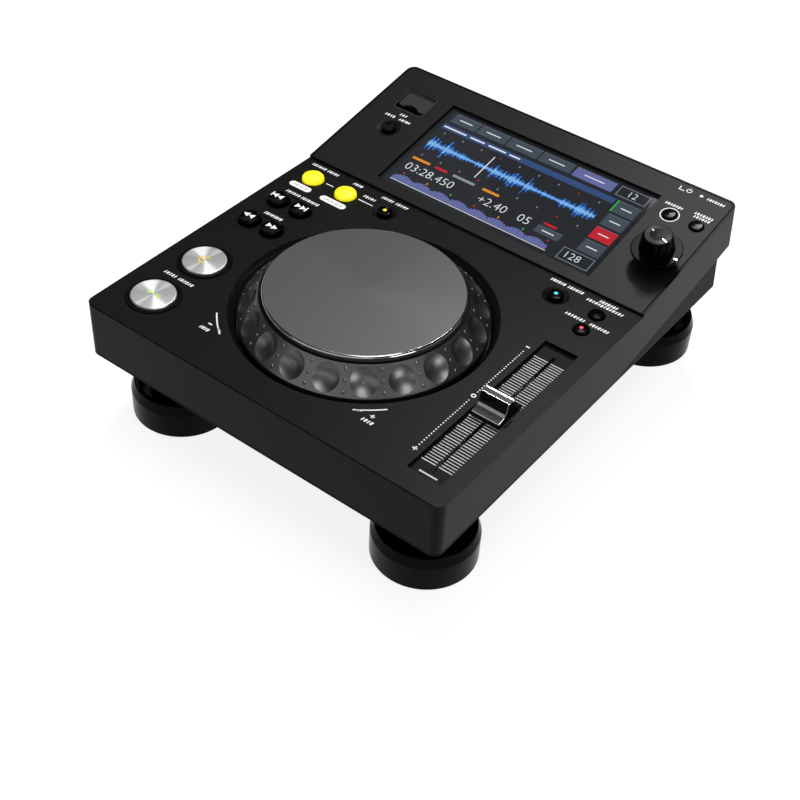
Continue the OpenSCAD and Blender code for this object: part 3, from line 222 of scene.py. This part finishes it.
# Feet: four round moulded feet on tall necks, with a rubber pad in the underside.
# Glossy black plastic with a fine moulding grain, held by one long screw each.
finish(moulded("foot_black", (0.001, 0.001, 0.001), 0.22, grain=0.1, gloss=0.05, rounding=0.0006),
       "foot_front_left", "foot_front_right", "foot_rear_left", "foot_rear_right")
finish(moulded("pad_rubber", (0.012, 0.012, 0.012), 0.85, grain=0.6, gloss=0.2), "foot_pads")
finish(moulded("screw_black", (0.03, 0.03, 0.03), 0.4, grain=0.1, metal=0.6), "foot_screws", "case_screws")

# Upper housing: the moulded shell with its flat deck and the tilted part behind it.
# Matt black plastic; the deck carries fine hairlines that run from side to side.
finish(moulded("housing_black", (0.005, 0.005, 0.0051), 0.38, grain=0.35, stretch=(0.04, 1, 1), gloss=0.058,
               change=0.25), "top_shell")


# Printing on the deck: key captions as plain strokes, two caption blocks, jog arrows and the tempo line.
# White ink, a few hundredths of a millimetre over the finished shell.
ink_lift = 0.03


def ink(name, colour):
    return moulded(name, colour, 0.5, grain=0.1, gloss=0.3, scale=4000, change=0.04)


def stroke(mesh, place, x, y, width, height, turn=0.0):
    """A printed bar of ink, in millimetres on the surface that place stands for."""
    spot = (place @ Matrix.Translation((x, y, ink_lift)) @ Matrix.Rotation(math.radians(turn), 4, "Z")
            @ Matrix.Diagonal((width, height, 1, 1)))
    bmesh.ops.create_grid(mesh, x_segments=1, y_segments=1, size=0.5, matrix=spot)


def caption(mesh, place, x, y, length, height=2.3):
    """A row of small slanted strokes in place of a printed name."""
    slant = -14
    marks = max(3, round(length / 1.8))
    for mark in range(marks):
        mark_x = x + (mark - (marks - 1) / 2) * length / marks
        mark_width = 0.75 if mark % 2 == 0 else 1.2
        stroke(mesh, place, mark_x, y, mark_width, height, slant)


def spot_of_ink(mesh, place, x, y, radius, sides=16, turn=0.0):
    """A printed disc, or with few sides a triangle or another even shape."""
    spot = place @ Matrix.Translation((x, y, ink_lift)) @ Matrix.Rotation(math.radians(turn), 4, "Z")
    bmesh.ops.create_circle(mesh, cap_ends=True, segments=sides, radius=radius, matrix=spot)


def curved_stroke(mesh, place, centre, radius, width, start, sweep, steps):
    """A printed arc: a short edge of ink spun round the centre."""
    inner = mesh.verts.new((centre[0] + radius - width / 2, centre[1], ink_lift))
    outer = mesh.verts.new((centre[0] + radius + width / 2, centre[1], ink_lift))
    line = mesh.edges.new((inner, outer))
    middle = Vector((centre[0], centre[1], 0))
    bmesh.ops.rotate(mesh, verts=[inner, outer], cent=middle,
                     matrix=Matrix.Rotation(math.radians(start), 3, "Z"))
    whole = abs(sweep) == 360
    made = bmesh.ops.spin(mesh, geom=[inner, outer, line], cent=middle, axis=(0, 0, 1),
                          angle=math.radians(sweep), steps=steps, use_merge=whole, use_duplicate=False)
    faces = {face for vert in (inner, outer) for face in vert.link_faces}
    verts = {inner, outer} | {item for item in made["geom_last"] if isinstance(item, bmesh.types.BMVert)}
    grown = True
    while grown:
        more = {vert for face in faces for vert in face.verts} - verts
        verts |= more
        faces |= {face for vert in more for face in vert.link_faces}
        grown = bool(more)
    bmesh.ops.transform(mesh, matrix=place, verts=list(verts))


def make_piece(name, mesh, body, *materials):
    """Turns what was modelled into a piece of the player that moves with one of its bodies."""
    data = bpy.data.meshes.new(name)
    mesh.to_mesh(data)
    mesh.free()
    for material in materials:
        data.materials.append(material)
    piece = bpy.data.objects.new(name, data)
    bpy.context.collection.objects.link(piece)
    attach(piece, body)


deck_height = 0.0825
deck_place = Matrix.Translation((cad_low[0], cad_low[1], deck_height)) @ Matrix.Scale(0.001, 4)
white_ink = ink("white_ink", (0.9, 0.9, 0.9))
deck_print = bmesh.new()
top_row_y = 184.6
for caption_x, caption_y, caption_length in (
        (11.5, top_row_y, 11), (22.5, top_row_y, 9), (42, top_row_y, 7),
        (65, top_row_y, 9), (75.5, top_row_y, 9.5), (55.8, 178.4, 9.5),
        (18, 152.3, 11), (31, 152.3, 13.5), (24.5, 126.8, 13.5), (18, 47.8, 9.5), (29.5, 47.8, 11),
        (187, top_row_y, 10), (198.5, top_row_y, 10.5), (219.8, 185.2, 12), (219.2, 182.1, 24),
        (211, 164.2, 13), (226.5, 164.2, 12.5), (64.5, 25.7, 6.5), (175.5, 25.6, 7.5)):
    caption(deck_print, deck_place, caption_x, caption_y, caption_length)
for link_x, link_length in ((29, 5.6), (56.6, 11)):
    stroke(deck_print, deck_place, link_x, 173.3, link_length, 0.7)

block_y = 160.6
block_height = 5.0
caption_blocks = ((16.5, 16), (41.8, 19))
for block_x, block_length in caption_blocks:
    straight = block_length - block_height
    stroke(deck_print, deck_place, block_x, block_y, straight, block_height)
    for end in (-1, 1):
        spot_of_ink(deck_print, deck_place @ Matrix.Translation((0, 0, 0.01)),
                    block_x + end * straight / 2, block_y, block_height / 2)

arrow_centre = (120.7, 92.3)
curved_stroke(deck_print, deck_place, arrow_centre, 80.0, 0.8, 221.3, 12.9, 8)
curved_stroke(deck_print, deck_place, arrow_centre, 78.3, 0.8, -55.9, 13.0, 8)
stroke(deck_print, deck_place, 71.3, 29.8, 3.2, 0.9, -30)
stroke(deck_print, deck_place, 167.6, 29.2, 3.2, 0.9, 30)
stroke(deck_print, deck_place, 64.5, 30.3, 2.6, 0.9)
stroke(deck_print, deck_place, 175.5, 30.0, 2.6, 0.9)
stroke(deck_print, deck_place, 175.5, 30.0, 0.9, 2.6)

tempo_x = 205.4
tempo_start = 29.4
tempo_pitch = 2
tempo_middle = 75.4
for dot in range(47):
    dot_y = tempo_start + tempo_pitch * dot
    if abs(dot_y - tempo_middle) > 3:
        spot_of_ink(deck_print, deck_place, tempo_x, dot_y, 0.45, sides=8)
stroke(deck_print, deck_place, tempo_x, 125.9, 2.6, 0.8)
stroke(deck_print, deck_place, tempo_x, 25.8, 2.8, 0.8)
stroke(deck_print, deck_place, tempo_x, 25.8, 0.8, 2.8)
curved_stroke(deck_print, deck_place, (tempo_x, 75.7), 1.1, 0.7, 0, 360, 16)
make_piece("deck_print", deck_print, "housing", white_ink)

block_print = bmesh.new()
for block_x, block_length in caption_blocks:
    caption(block_print, deck_place @ Matrix.Translation((0, 0, ink_lift)),
            block_x, block_y, block_length - block_height)
make_piece("block_print", block_print, "housing", ink("grey_ink", (0.5, 0.5, 0.5)))

# Jog wheel: a heavy ring with finger dimples and three raised dots between each pair, and a flat top plate.
# Satin metallic paint on the ring and the plate, with a painted sheen on the plate, a polished line round the
# plate's edge, a glossy black well, and painted shade in the gap between plate and ring.
jog_place = deck_place @ Matrix.Translation((119.9, 93.1, 0))
ring_top_r = 57.8
ring_top_z = 11.6
ring_low_r = 69.5
ring_low_z = -1.9
plate_z = 14.9
finish(moulded("well_black", (0.006, 0.006, 0.006), 0.22, gloss=0.3), "jog_well")
ring_satin = moulded("ring_satin", (0.17, 0.17, 0.172), 0.36, grain=0.1, gloss=0.5, scale=3000, metal=1.0,
                     change=0.05)
finish(ring_satin, "jog_ring")


def spun(name, colour, centre, bands, roughness, metal, grooves=0.15, gloss=0.5):
    """A face turned on a lathe: fine rings round its centre as bumps, and soft wedges of sheen that fan out
    from it, painted into its colour.
    """
    material, tree, shader = node_material(name)
    shader.inputs["Metallic"].default_value = metal
    shader.inputs["Roughness"].default_value = roughness
    shader.inputs["Specular IOR Level"].default_value = gloss
    place = tree.nodes.new("ShaderNodeTexCoord")
    turn = tree.nodes.new("ShaderNodeMapping")
    turn.inputs["Location"].default_value = [-part for part in centre]
    # The radial gradient and ramp paint lighter and darker wedges of sheen into the base colour.
    fan = tree.nodes.new("ShaderNodeTexGradient")
    fan.gradient_type = "RADIAL"
    ramp = tree.nodes.new("ShaderNodeValToRGB")
    ramp.color_ramp.interpolation = "EASE"
    for spot, _ in bands[1:-1]:
        ramp.color_ramp.elements.new(spot)
    for stop, (spot, level) in zip(ramp.color_ramp.elements, bands):
        stop.position = spot
        stop.color = [level * part for part in colour] + [1]
    rings = tree.nodes.new("ShaderNodeTexWave")
    rings.wave_type = "RINGS"
    rings.rings_direction = "Z"
    rings.inputs["Scale"].default_value = 900
    rings.inputs["Distortion"].default_value = 1.5
    rings.inputs["Detail"].default_value = 3
    edge = tree.nodes.new("ShaderNodeBevel")
    edge.samples = 4
    edge.inputs["Radius"].default_value = 0.0003
    bump = tree.nodes.new("ShaderNodeBump")
    bump.inputs["Strength"].default_value = grooves
    bump.inputs["Distance"].default_value = 0.00003
    tree.links.new(place.outputs["Object"], turn.inputs["Vector"])
    tree.links.new(turn.outputs["Vector"], fan.inputs["Vector"])
    tree.links.new(turn.outputs["Vector"], rings.inputs["Vector"])
    tree.links.new(fan.outputs["Fac"], ramp.inputs["Fac"])
    tree.links.new(rings.outputs["Fac"], bump.inputs["Height"])
    tree.links.new(edge.outputs["Normal"], bump.inputs["Normal"])
    tree.links.new(ramp.outputs["Color"], shader.inputs["Base Color"])
    tree.links.new(bump.outputs["Normal"], shader.inputs["Normal"])
    return material


jog_centre = jog_place @ Vector((0, 0, 0))
# The plate's faint conical sheen is painted into its colour: soft lighter and darker wedges round its centre.
finish(spun("plate_painted_sheen", (0.080, 0.080, 0.081), jog_centre,
            ((0.0, 0.92), (0.25, 0.95), (0.42, 0.95), (0.52, 1.04), (0.66, 0.9), (0.78, 0.8), (0.9, 0.82),
             (1.0, 0.92)),
            0.42, 0.45, grooves=0.05, gloss=0.2), "jog_top")

dimple_count = 20
dimple_start = 2.3
ring_dots = bmesh.new()
ring_lean = math.atan2(ring_low_r - ring_top_r, ring_top_z - ring_low_z)
for dimple in range(dimple_count):
    between = math.radians(dimple_start + 360 / dimple_count * (dimple + 0.5))
    for share in (0.16, 0.5, 0.84):
        reach = ring_top_r + (ring_low_r - ring_top_r) * share
        rise = ring_top_z - (ring_top_z - ring_low_z) * share
        spot = (jog_place @ Matrix.Rotation(between, 4, "Z") @ Matrix.Translation((reach, 0, rise))
                @ Matrix.Rotation(math.pi / 2 - ring_lean, 4, "Y") @ Matrix.Diagonal((1, 1, 0.55, 1)))
        bmesh.ops.create_uvsphere(ring_dots, u_segments=14, v_segments=8, radius=0.95, matrix=spot)
for face in ring_dots.faces:
    face.smooth = True
make_piece("ring_dots", ring_dots, "jog_wheel", ring_satin)

plate_rim = bmesh.new()
rim_points = [plate_rim.verts.new((reach, 0, plate_z + rise)) for reach, rise in
              ((54.95, 0.03), (55.05, 0.02), (55.93, -0.91), (55.97, -1.1))]
rim_line = [plate_rim.edges.new(pair) for pair in zip(rim_points, rim_points[1:])]
bmesh.ops.spin(plate_rim, geom=rim_points + rim_line, cent=(0, 0, 0), axis=(0, 0, 1), angle=math.tau,
               steps=180, use_merge=True, use_duplicate=False)
bmesh.ops.recalc_face_normals(plate_rim, faces=plate_rim.faces)
for face in plate_rim.faces:
    face.smooth = True
bmesh.ops.transform(plate_rim, matrix=jog_place, verts=plate_rim.verts)
make_piece("plate_rim", plate_rim, "jog_wheel",
           moulded("rim_polish", (0.45, 0.45, 0.45), 0.1, gloss=0.5, metal=1.0, change=0.03))

# Painted shade: a flat black ring laid in the gap between the plate and the ring's top, where the groove
# falls dark.
groove_width = 1.9
gap_shade = bmesh.new()
curved_stroke(gap_shade, jog_place @ Matrix.Translation((0, 0, ring_top_z)), (0, 0),
              ring_top_r - groove_width / 2, groove_width, 0, 360, 120)
make_piece("plate_groove_shade", gap_shade, "jog_wheel",
           moulded("groove_painted_shade", (0.002, 0.002, 0.002), 0.6, gloss=0.05))

# Tempo fader: a sunk plate with a white scale on both sides of its slot, and a cap that slides along it.
# The cap is black with a soft sheen; the bright silver lines along its ridge, down its sides and round its
# front lip and foot are painted highlights.
finish(moulded("scale_black", (0.008, 0.008, 0.008), 0.45, grain=0.15), "fader_plate")
fader_x = 220.0
scale_z = -2.5
scale_start = 24.85
scale_pitch = 2
scale_print = bmesh.new()
for tick in range(51):
    long_tick = tick % 5 == 0
    for side in (-1, 1):
        stroke(scale_print, deck_place @ Matrix.Translation((0, 0, scale_z)),
               fader_x + side * (5.3 if long_tick else 5.0), scale_start + scale_pitch * tick,
               8.9 if long_tick else 8.0, 0.65 if long_tick else 0.5)
stroke(scale_print, deck_place @ Matrix.Translation((0, 0, scale_z)), fader_x, 17.3, 11, 1.0)
make_piece("scale_print", scale_print, "housing", ink("scale_ink", (0.6, 0.6, 0.6)))

finish(moulded("cap_black", (0.004, 0.004, 0.004), 0.28, gloss=0.2), "fader_cap")
cap_place = deck_place @ Matrix.Translation((fader_x, 75.2, 0))
cap_top = 9.5
lip_z = 0.81
foot_z = 2.41
cap_side = ((-10.3, lip_z), (-9.8, 1.31), (-7.83, 1.71), (-5.77, foot_z), (-4.43, 3.61), (-3.5, 5.51),
            (-2.78, 9.0), (-2.27, cap_top))
# Painted highlights: thin silver strips laid on the cap's edges where they catch the light.
cap_painted_highlights = bmesh.new()
for (near_y, near_z), (far_y, far_z) in zip(cap_side, cap_side[1:]):
    lean = math.atan2(far_z - near_z, far_y - near_y)
    edge_place = (cap_place @ Matrix.Translation((0, (near_y + far_y) / 2, (near_z + far_z) / 2))
                  @ Matrix.Rotation(lean, 4, "X"))
    stroke(cap_painted_highlights, edge_place, 8.3, 0, 0.3, math.hypot(far_y - near_y, far_z - near_z))
    if near_z == lip_z:
        stroke(cap_painted_highlights, edge_place, 0, 0, 16.6, 0.5)
    if near_z == foot_z:
        stroke(cap_painted_highlights, edge_place, 0, 0, 16.6, 1.7)
for line_y, line_width in ((-2.1, 0.35), (2.0, 1.1)):
    stroke(cap_painted_highlights, cap_place @ Matrix.Translation((0, 0, cap_top)), 0, line_y, 16.9, line_width)
make_piece("cap_painted_highlights", cap_painted_highlights, "tempo_slider",
           moulded("highlight_silver", (0.75, 0.75, 0.75), 0.25, gloss=0.5, metal=0.7, change=0.04))

# Play and cue keys: large caps turned from aluminium, each in a black ring.
# The bright and dark wedges that fan out from the middle are painted sheen in the colour, over fine turning
# grooves. Both carry a lit sign.
finish(moulded("ring_black", (0.001, 0.001, 0.001), 0.3, gloss=0.04), "play_bezel", "cue_bezel")
big_key_x = 24.7
play_y = 27.8
cue_y = 68.1
big_cap_z = 1.72
# Painted sheen: colour levels round each cap, lighter in the wedges where turned aluminium would catch the
# light.
painted_sheen_fan = (
    (0.0, 0.8), (0.08, 0.62), (0.2, 0.7), (0.24, 1.1), (0.28, 0.7), (0.34, 0.85), (0.39, 1.7), (0.44, 1.6),
    (0.5, 0.8), (0.6, 0.66), (0.7, 0.62), (0.74, 1.0), (0.8, 0.72), (0.87, 1.6), (0.93, 1.7), (1.0, 0.8))
for key_name, key_y in (("play", play_y), ("cue", cue_y)):
    finish(spun(key_name + "_aluminium_painted_sheen", (0.62, 0.62, 0.63), deck_place @ Vector((big_key_x, key_y, 0)),
                painted_sheen_fan, 0.34, 0.85), key_name + "_button")


def glowing(name, colour, strength=1.0):
    """A lit sign or lamp behind clear plastic, with a slightly uneven glow."""
    material, tree, shader = node_material(name)
    shader.inputs["Base Color"].default_value = [0.1 * part for part in colour] + [1]
    shader.inputs["Roughness"].default_value = 0.25
    shader.inputs["Emission Strength"].default_value = strength
    place = tree.nodes.new("ShaderNodeTexCoord")
    noise = tree.nodes.new("ShaderNodeTexNoise")
    noise.inputs["Scale"].default_value = 500
    shade = tree.nodes.new("ShaderNodeMix")
    shade.data_type = "RGBA"
    shade.inputs["A"].default_value = [0.88 * part for part in colour] + [1]
    shade.inputs["B"].default_value = [1.12 * part for part in colour] + [1]
    tree.links.new(place.outputs["Object"], noise.inputs["Vector"])
    tree.links.new(noise.outputs["Fac"], shade.inputs["Factor"])
    tree.links.new(shade.outputs["Result"], shader.inputs["Emission Color"])
    return material


play_sign = bmesh.new()
play_top = deck_place @ Matrix.Translation((big_key_x, play_y, big_cap_z))
spot_of_ink(play_sign, play_top, -2.6, 0, 1.9, sides=3, turn=-90)
for bar_x in (1.9, 4.1):
    stroke(play_sign, play_top, bar_x, 0, 1.1, 3.0)
make_piece("play_sign", play_sign, "play_key", glowing("lit_green", (0.50, 0.80, 0.05)))
cue_sign = bmesh.new()
cue_top = deck_place @ Matrix.Translation((big_key_x, cue_y, big_cap_z))
curved_stroke(cue_sign, cue_top, (0, 0), 3.0, 0.9, 50, 260, 20)
stroke(cue_sign, cue_top, 0.4, 0, 2.8, 1.0)
make_piece("cue_sign", cue_sign, "cue_key", glowing("lit_amber", (0.85, 0.55, 0.03)))

# Search and track keys: two pairs of domed keys with white arrows, in close round holes.
# Glossy black plastic; the arrows are printed.
gloss_black = moulded("gloss_black", (0.001, 0.001, 0.001), 0.12, gloss=0.05)
finish(gloss_black, "search_back", "search_forward", "track_back", "track_forward")
arrow_z = 3.2
for row_name, row_y, barred in (("search", 115.2, False), ("track", 140.9, True)):
    for side_name, key_x, way in (("back", 16.4, -1), ("forward", 33.2, 1)):
        key_print = bmesh.new()
        key_top = deck_place @ Matrix.Translation((key_x, row_y, arrow_z))
        for step in (-1, 1):
            spot_of_ink(key_print, key_top, way * 1.9 * step, 0, 2.5, sides=3, turn=-90 * way)
        if barred:
            stroke(key_print, key_top, way * 4.5, 0, 0.9, 4.3)
        key = row_name + "_" + side_name
        make_piece(key + "_sign", key_print, key + "_key", white_ink)


# Loop keys: two tall domed keys of clear yellow plastic, lit from below.
# The light makes the middle of each dome the brightest.
def lit_yellow():
    material, tree, shader = node_material("lit_yellow")
    shader.inputs["Base Color"].default_value = (0.85, 0.72, 0.0, 1)
    shader.inputs["Roughness"].default_value = 0.3
    shader.inputs["Emission Strength"].default_value = 0.6
    facing = tree.nodes.new("ShaderNodeLayerWeight")
    facing.inputs["Blend"].default_value = 0.35
    shade = tree.nodes.new("ShaderNodeMix")
    shade.data_type = "RGBA"
    shade.inputs["A"].default_value = (1.0, 0.95, 0.02, 1)
    shade.inputs["B"].default_value = (0.75, 0.45, 0.0, 1)
    tree.links.new(facing.outputs["Facing"], shade.inputs["Factor"])
    tree.links.new(shade.outputs["Result"], shader.inputs["Emission Color"])
    return material


finish(lit_yellow(), "loop_in", "loop_out")

# Small keys: seven small domed keys, three of them with a lamp in the middle.
# The same glossy black plastic as the search keys; the lamps shine through small round lenses.
finish(gloss_black, "reloop_button", "vinyl_button", "range_button", "master_button", "stop_button",
       "back_button", "tag_button")
lens_z = 1.6
for key, lamp_x, lamp_y, lamp_colour in (
        ("reloop", 71.6, 173.0, (0.95, 0.75, 0.03)),
        ("vinyl", 192.6, 173.0, (0.05, 0.75, 0.95)),
        ("master", 219.5, 156.8, (0.75, 0.04, 0.06))):
    lens = bmesh.new()
    lens_place = deck_place @ Matrix.Translation((lamp_x, lamp_y, lens_z)) @ Matrix.Diagonal((1, 1, 0.45, 1))
    bmesh.ops.create_uvsphere(lens, u_segments=20, v_segments=10, radius=1.25, matrix=lens_place)
    make_piece(key + "_lamp", lens, key + "_key", glowing(key + "_lamp_glow", lamp_colour, 1.2))

# Display panel: a smooth plate set flush into the tilted part, with printed marks.
# Satin dark grey with a finer grain than the shell, so that the main soft panel shows in it as a broad sheen.
deck_length = 0.189
panel_height = 0.0841
panel_tilt = 10.5
panel_place = (Matrix.Translation((cad_low[0], cad_low[1] + deck_length, panel_height))
               @ Matrix.Rotation(math.radians(panel_tilt), 4, "X") @ Matrix.Scale(0.001, 4))
finish(moulded("panel_grey", (0.007, 0.007, 0.0071), 0.4, grain=0.04, gloss=0.075, scale=3500, change=0.05),
       "display_panel")
panel_print = bmesh.new()
for caption_x, caption_v, caption_length in (
        (26.5, 61.4, 6), (19, 57.2, 8), (30.5, 57.2, 9), (209.5, 83.6, 12), (228.5, 85.0, 12.5),
        (228.5, 82.3, 11), (228.5, 98.9, 12)):
    caption(panel_print, panel_place, caption_x, caption_v, caption_length, 2.0)
curved_stroke(panel_print, panel_place, (211.3, 75.5), 5.55, 0.6, 0, 360, 32)
curved_stroke(panel_print, panel_place, (210.7, 99.2), 1.5, 0.5, 125, 290, 20)
stroke(panel_print, panel_place, 210.7, 100.4, 0.5, 2.0)
stroke(panel_print, panel_place, 204.6, 99.0, 0.6, 3.4)
stroke(panel_print, panel_place, 206.4, 97.6, 3.4, 0.6)
make_piece("panel_print", panel_print, "housing", white_ink)
finish(glowing("standby_glow", (0.5, 0.5, 0.5), 0.5), "standby_lamp")

# Screen: a touch glass with a lit picture behind it.
# The picture is a plain layout: slate buttons, a blue level graph, words shown as bars, and figures.
finish(moulded("glass_black", (0.018, 0.018, 0.021), 0.05, gloss=0.02, change=0.02), "touch_glass")


def lit_picture(name, colour):
    """A colour of the lit picture, broken up by the fine rows of the display."""
    material, tree, shader = node_material(name)
    shader.inputs["Base Color"].default_value = (0.003, 0.003, 0.004, 1)
    shader.inputs["Roughness"].default_value = 0.05
    shader.inputs["Specular IOR Level"].default_value = 0.02
    shader.inputs["Emission Strength"].default_value = 1.0
    place = tree.nodes.new("ShaderNodeTexCoord")
    rows = tree.nodes.new("ShaderNodeTexWave")
    rows.bands_direction = "Y"
    rows.inputs["Scale"].default_value = 800
    shade = tree.nodes.new("ShaderNodeMix")
    shade.data_type = "RGBA"
    shade.inputs["A"].default_value = [0.9 * part for part in colour] + [1]
    shade.inputs["B"].default_value = [1.1 * part for part in colour] + [1]
    tree.links.new(place.outputs["Object"], rows.inputs["Vector"])
    tree.links.new(rows.outputs["Fac"], shade.inputs["Factor"])
    tree.links.new(shade.outputs["Result"], shader.inputs["Emission Color"])
    return material


picture_colours = {
    "ground": (0.020, 0.022, 0.026), "slate": (0.055, 0.072, 0.095), "slate_light": (0.12, 0.15, 0.20),
    "title": (0.035, 0.075, 0.20), "blue": (0.03, 0.20, 0.75), "pale_blue": (0.25, 0.55, 0.95),
    "white": (0.75, 0.78, 0.8), "grey": (0.25, 0.28, 0.32), "red": (0.50, 0.02, 0.03),
    "orange": (0.75, 0.25, 0.02), "lilac": (0.12, 0.14, 0.34), "green": (0.03, 0.45, 0.08)}
picture_order = list(picture_colours)
picture = bmesh.new()
glass_place = panel_place @ Matrix.Translation((0, 0, -2.19))
layer_step = 0.012


def shown(colour, x, v, width, height, layer=1):
    """One plain patch of the picture, by its middle, in millimetres on the glass."""
    spot = (glass_place @ Matrix.Translation((x, v, layer_step * layer))
            @ Matrix.Diagonal((width, height, 1, 1)))
    made = bmesh.ops.create_grid(picture, x_segments=1, y_segments=1, size=0.5, matrix=spot)
    for face in {face for vert in made["verts"] for face in vert.link_faces}:
        face.material_index = picture_order.index(colour)


def shown_button(x, v, width, height, colour="slate"):
    """A button of the picture, with a paler line along its top and a bar in place of its word."""
    shown(colour, x, v, width, height)
    shown("slate_light", x, v + height / 2 - 0.2, width, 0.4, layer=2)
    shown("white", x, v, 0.5 * width, 0.8, layer=2)


def shown_figures(words, x, v, height):
    """Plain white figures, made a mesh and laid on the glass."""
    lettering = bpy.data.curves.new("figures", "FONT")
    lettering.body = words
    lettering.size = height / 0.7
    lettering.resolution_u = 3
    lettering.offset = -0.018 * height
    spare = bpy.data.objects.new("figures", lettering)
    flat = bpy.data.meshes.new_from_object(spare)
    flat.transform(glass_place @ Matrix.Translation((x, v, 2.5 * layer_step)))
    before = len(picture.faces)
    picture.from_mesh(flat)
    picture.faces.ensure_lookup_table()
    for face in picture.faces[before:]:
        face.material_index = picture_order.index("white")
    bpy.data.objects.remove(spare)
    bpy.data.meshes.remove(flat)


shown("ground", 123.1, 47.4, 145.5, 75.0, layer=0)
top_v = 79.3
for button_x, button_width in ((62.5, 19), (83.5, 21), (106.5, 23), (130.5, 23)):
    shown_button(button_x, top_v, button_width, 8.6)
shown_button(157.5, top_v, 28, 8.6, colour="lilac")
for button_v in (66.5, 54.0, 41.5, 29.0):
    shown_button(187.5, button_v, 14.5, 10.6, colour="red" if button_v == 41.5 else "slate")
shown("green", 179.6, 66.5, 1.0, 10.6, layer=2)
for box_x, box_v, box_width, box_height in ((184.5, top_v, 20, 8.6), (184.2, 17.0, 21, 10.0)):
    shown("grey", box_x, box_v, box_width, box_height)
    shown("ground", box_x, box_v, box_width - 0.8, box_height - 0.8, layer=2)
shown("title", 114.5, 69.6, 126, 4.6)
for bar_x, bar_length in ((61, 17), (78, 11), (93, 13), (106, 8)):
    shown("white", bar_x, 69.6, bar_length, 1.2, layer=2)

graph_start = 53.5
graph_v = 52.0
for column in range(190):
    column_x = graph_start + 0.64 * column
    beat = math.exp(-((column % 19) / 7.0))
    swell = 0.6 + 0.4 * math.sin(column * 0.075 + 0.6)
    ripple = abs(math.sin(column * 2.3) * math.cos(column * 0.61))
    tall = 1.6 + 15.0 * beat * swell * (0.35 + 0.65 * ripple) + 6.0 * ripple * swell
    shown("blue", column_x, graph_v, 0.5, tall)
    shown("pale_blue", column_x, graph_v, 0.5, 0.45 * tall, layer=2)
shown("white", 96.0, graph_v, 0.7, 22.0, layer=3)
for mark in range(9):
    for edge_v in (40.2, 63.8):
        shown("red" if mark in (3, 7) else "grey", 57 + 14.2 * mark, edge_v, 0.8, 1.4)
for bar_x, bar_length, bar_colour in (
        (60, 13, "orange"), (75, 9, "red"), (92, 16, "grey"), (112, 12, "orange")):
    shown(bar_colour, bar_x, 35.6, bar_length, 2.0)
shown("red", 157.5, 31.5, 9, 1.8)
shown_button(159.5, 25.8, 17, 6.2)

for column in range(122):
    height = 2.6 + 2.2 * abs(math.sin(column * 0.21)) + 1.0 * abs(math.sin(column * 1.3))
    shown("lilac", graph_start + 0.92 * column, 13.6 + height / 2, 0.92, height)
shown("white", 109.5, 13.0, 113, 0.5, layer=2)
for flag in range(7):
    shown(("red", "orange", "green")[flag % 3], 58 + 17.5 * flag, 20.6, 1.0, 1.6, layer=2)

for words, words_x, words_v, words_height in (
        ("12", 180.5, 76.9, 5), ("03:28.450", 54, 24.6, 6.4), ("+2.40", 108, 24.6, 6.4),
        ("05", 137, 24.6, 6.4), ("128", 176, 14.6, 5.4)):
    shown_figures(words, words_x, words_v, words_height)
make_piece("screen_picture", picture, "housing",
           *[lit_picture("picture_" + colour, picture_colours[colour]) for colour in picture_order])

# Selector: a fluted knob with a wide flange, which turns and can be pushed.
# Black plastic with a spun top whose sheen is painted in its colour as wedges, a bright inlaid pointer and a
# mark on the flange.
finish(moulded("knob_black", (0.001, 0.001, 0.001), 0.25, gloss=0.02), "selector_knob")
knob_top_z = 20.4
flange_z = 10.02
knob_place = panel_place @ Matrix.Translation((223.7, 39.1, knob_top_z))
knob_centre = knob_place @ Vector((0, 0, 0))
knob_top = bmesh.new()
bmesh.ops.create_cone(knob_top, cap_ends=True, segments=64, radius1=7.55, radius2=7.5, depth=0.1,
                      matrix=knob_place @ Matrix.Translation((0, 0, 0.07)))
# The spun top's sheen is painted into its colour as lighter and darker wedges round the knob's middle.
make_piece("knob_top", knob_top, "selector_turn",
           spun("knob_painted_sheen", (0.04, 0.04, 0.04), knob_centre,
                ((0.0, 0.7), (0.12, 0.5), (0.28, 0.5), (0.38, 1.3), (0.5, 1.0), (0.62, 0.45), (0.78, 0.5),
                 (0.9, 1.1), (1.0, 0.7)),
                0.4, 0.2, gloss=0.03))
pointer = bmesh.new()
pointer_place = knob_place @ Matrix.Translation((0, 0, 0.12)) @ Matrix.Rotation(math.radians(-21.5), 4, "Z")
stroke(pointer, pointer_place, 1.0, 0, 12.4, 0.4)
stroke(pointer, pointer_place, 5.2, 0, 4.4, 0.8)
mark_place = (knob_place @ Matrix.Rotation(math.radians(-8.5), 4, "Z")
              @ Matrix.Translation((0, 0, flange_z - knob_top_z)))
stroke(pointer, mark_place, 13.3, 0, 2.2, 1.1)
make_piece("knob_pointer", pointer, "selector_turn",
           moulded("pointer_silver", (0.75, 0.75, 0.75), 0.3, gloss=0.5, metal=0.5, change=0.05))

# USB bay: a sunk socket under a small hinged cover with a finger notch.
# Black moulded bay, and a satin cover a little paler than the panel round it.
finish(moulded("bay_black", (0.004, 0.004, 0.004), 0.35, gloss=0.3), "usb_bay")
finish(moulded("cover_grey", (0.020, 0.020, 0.0205), 0.3, grain=0.05, gloss=0.1, scale=3000, coat=0.1),
       "usb_cover")
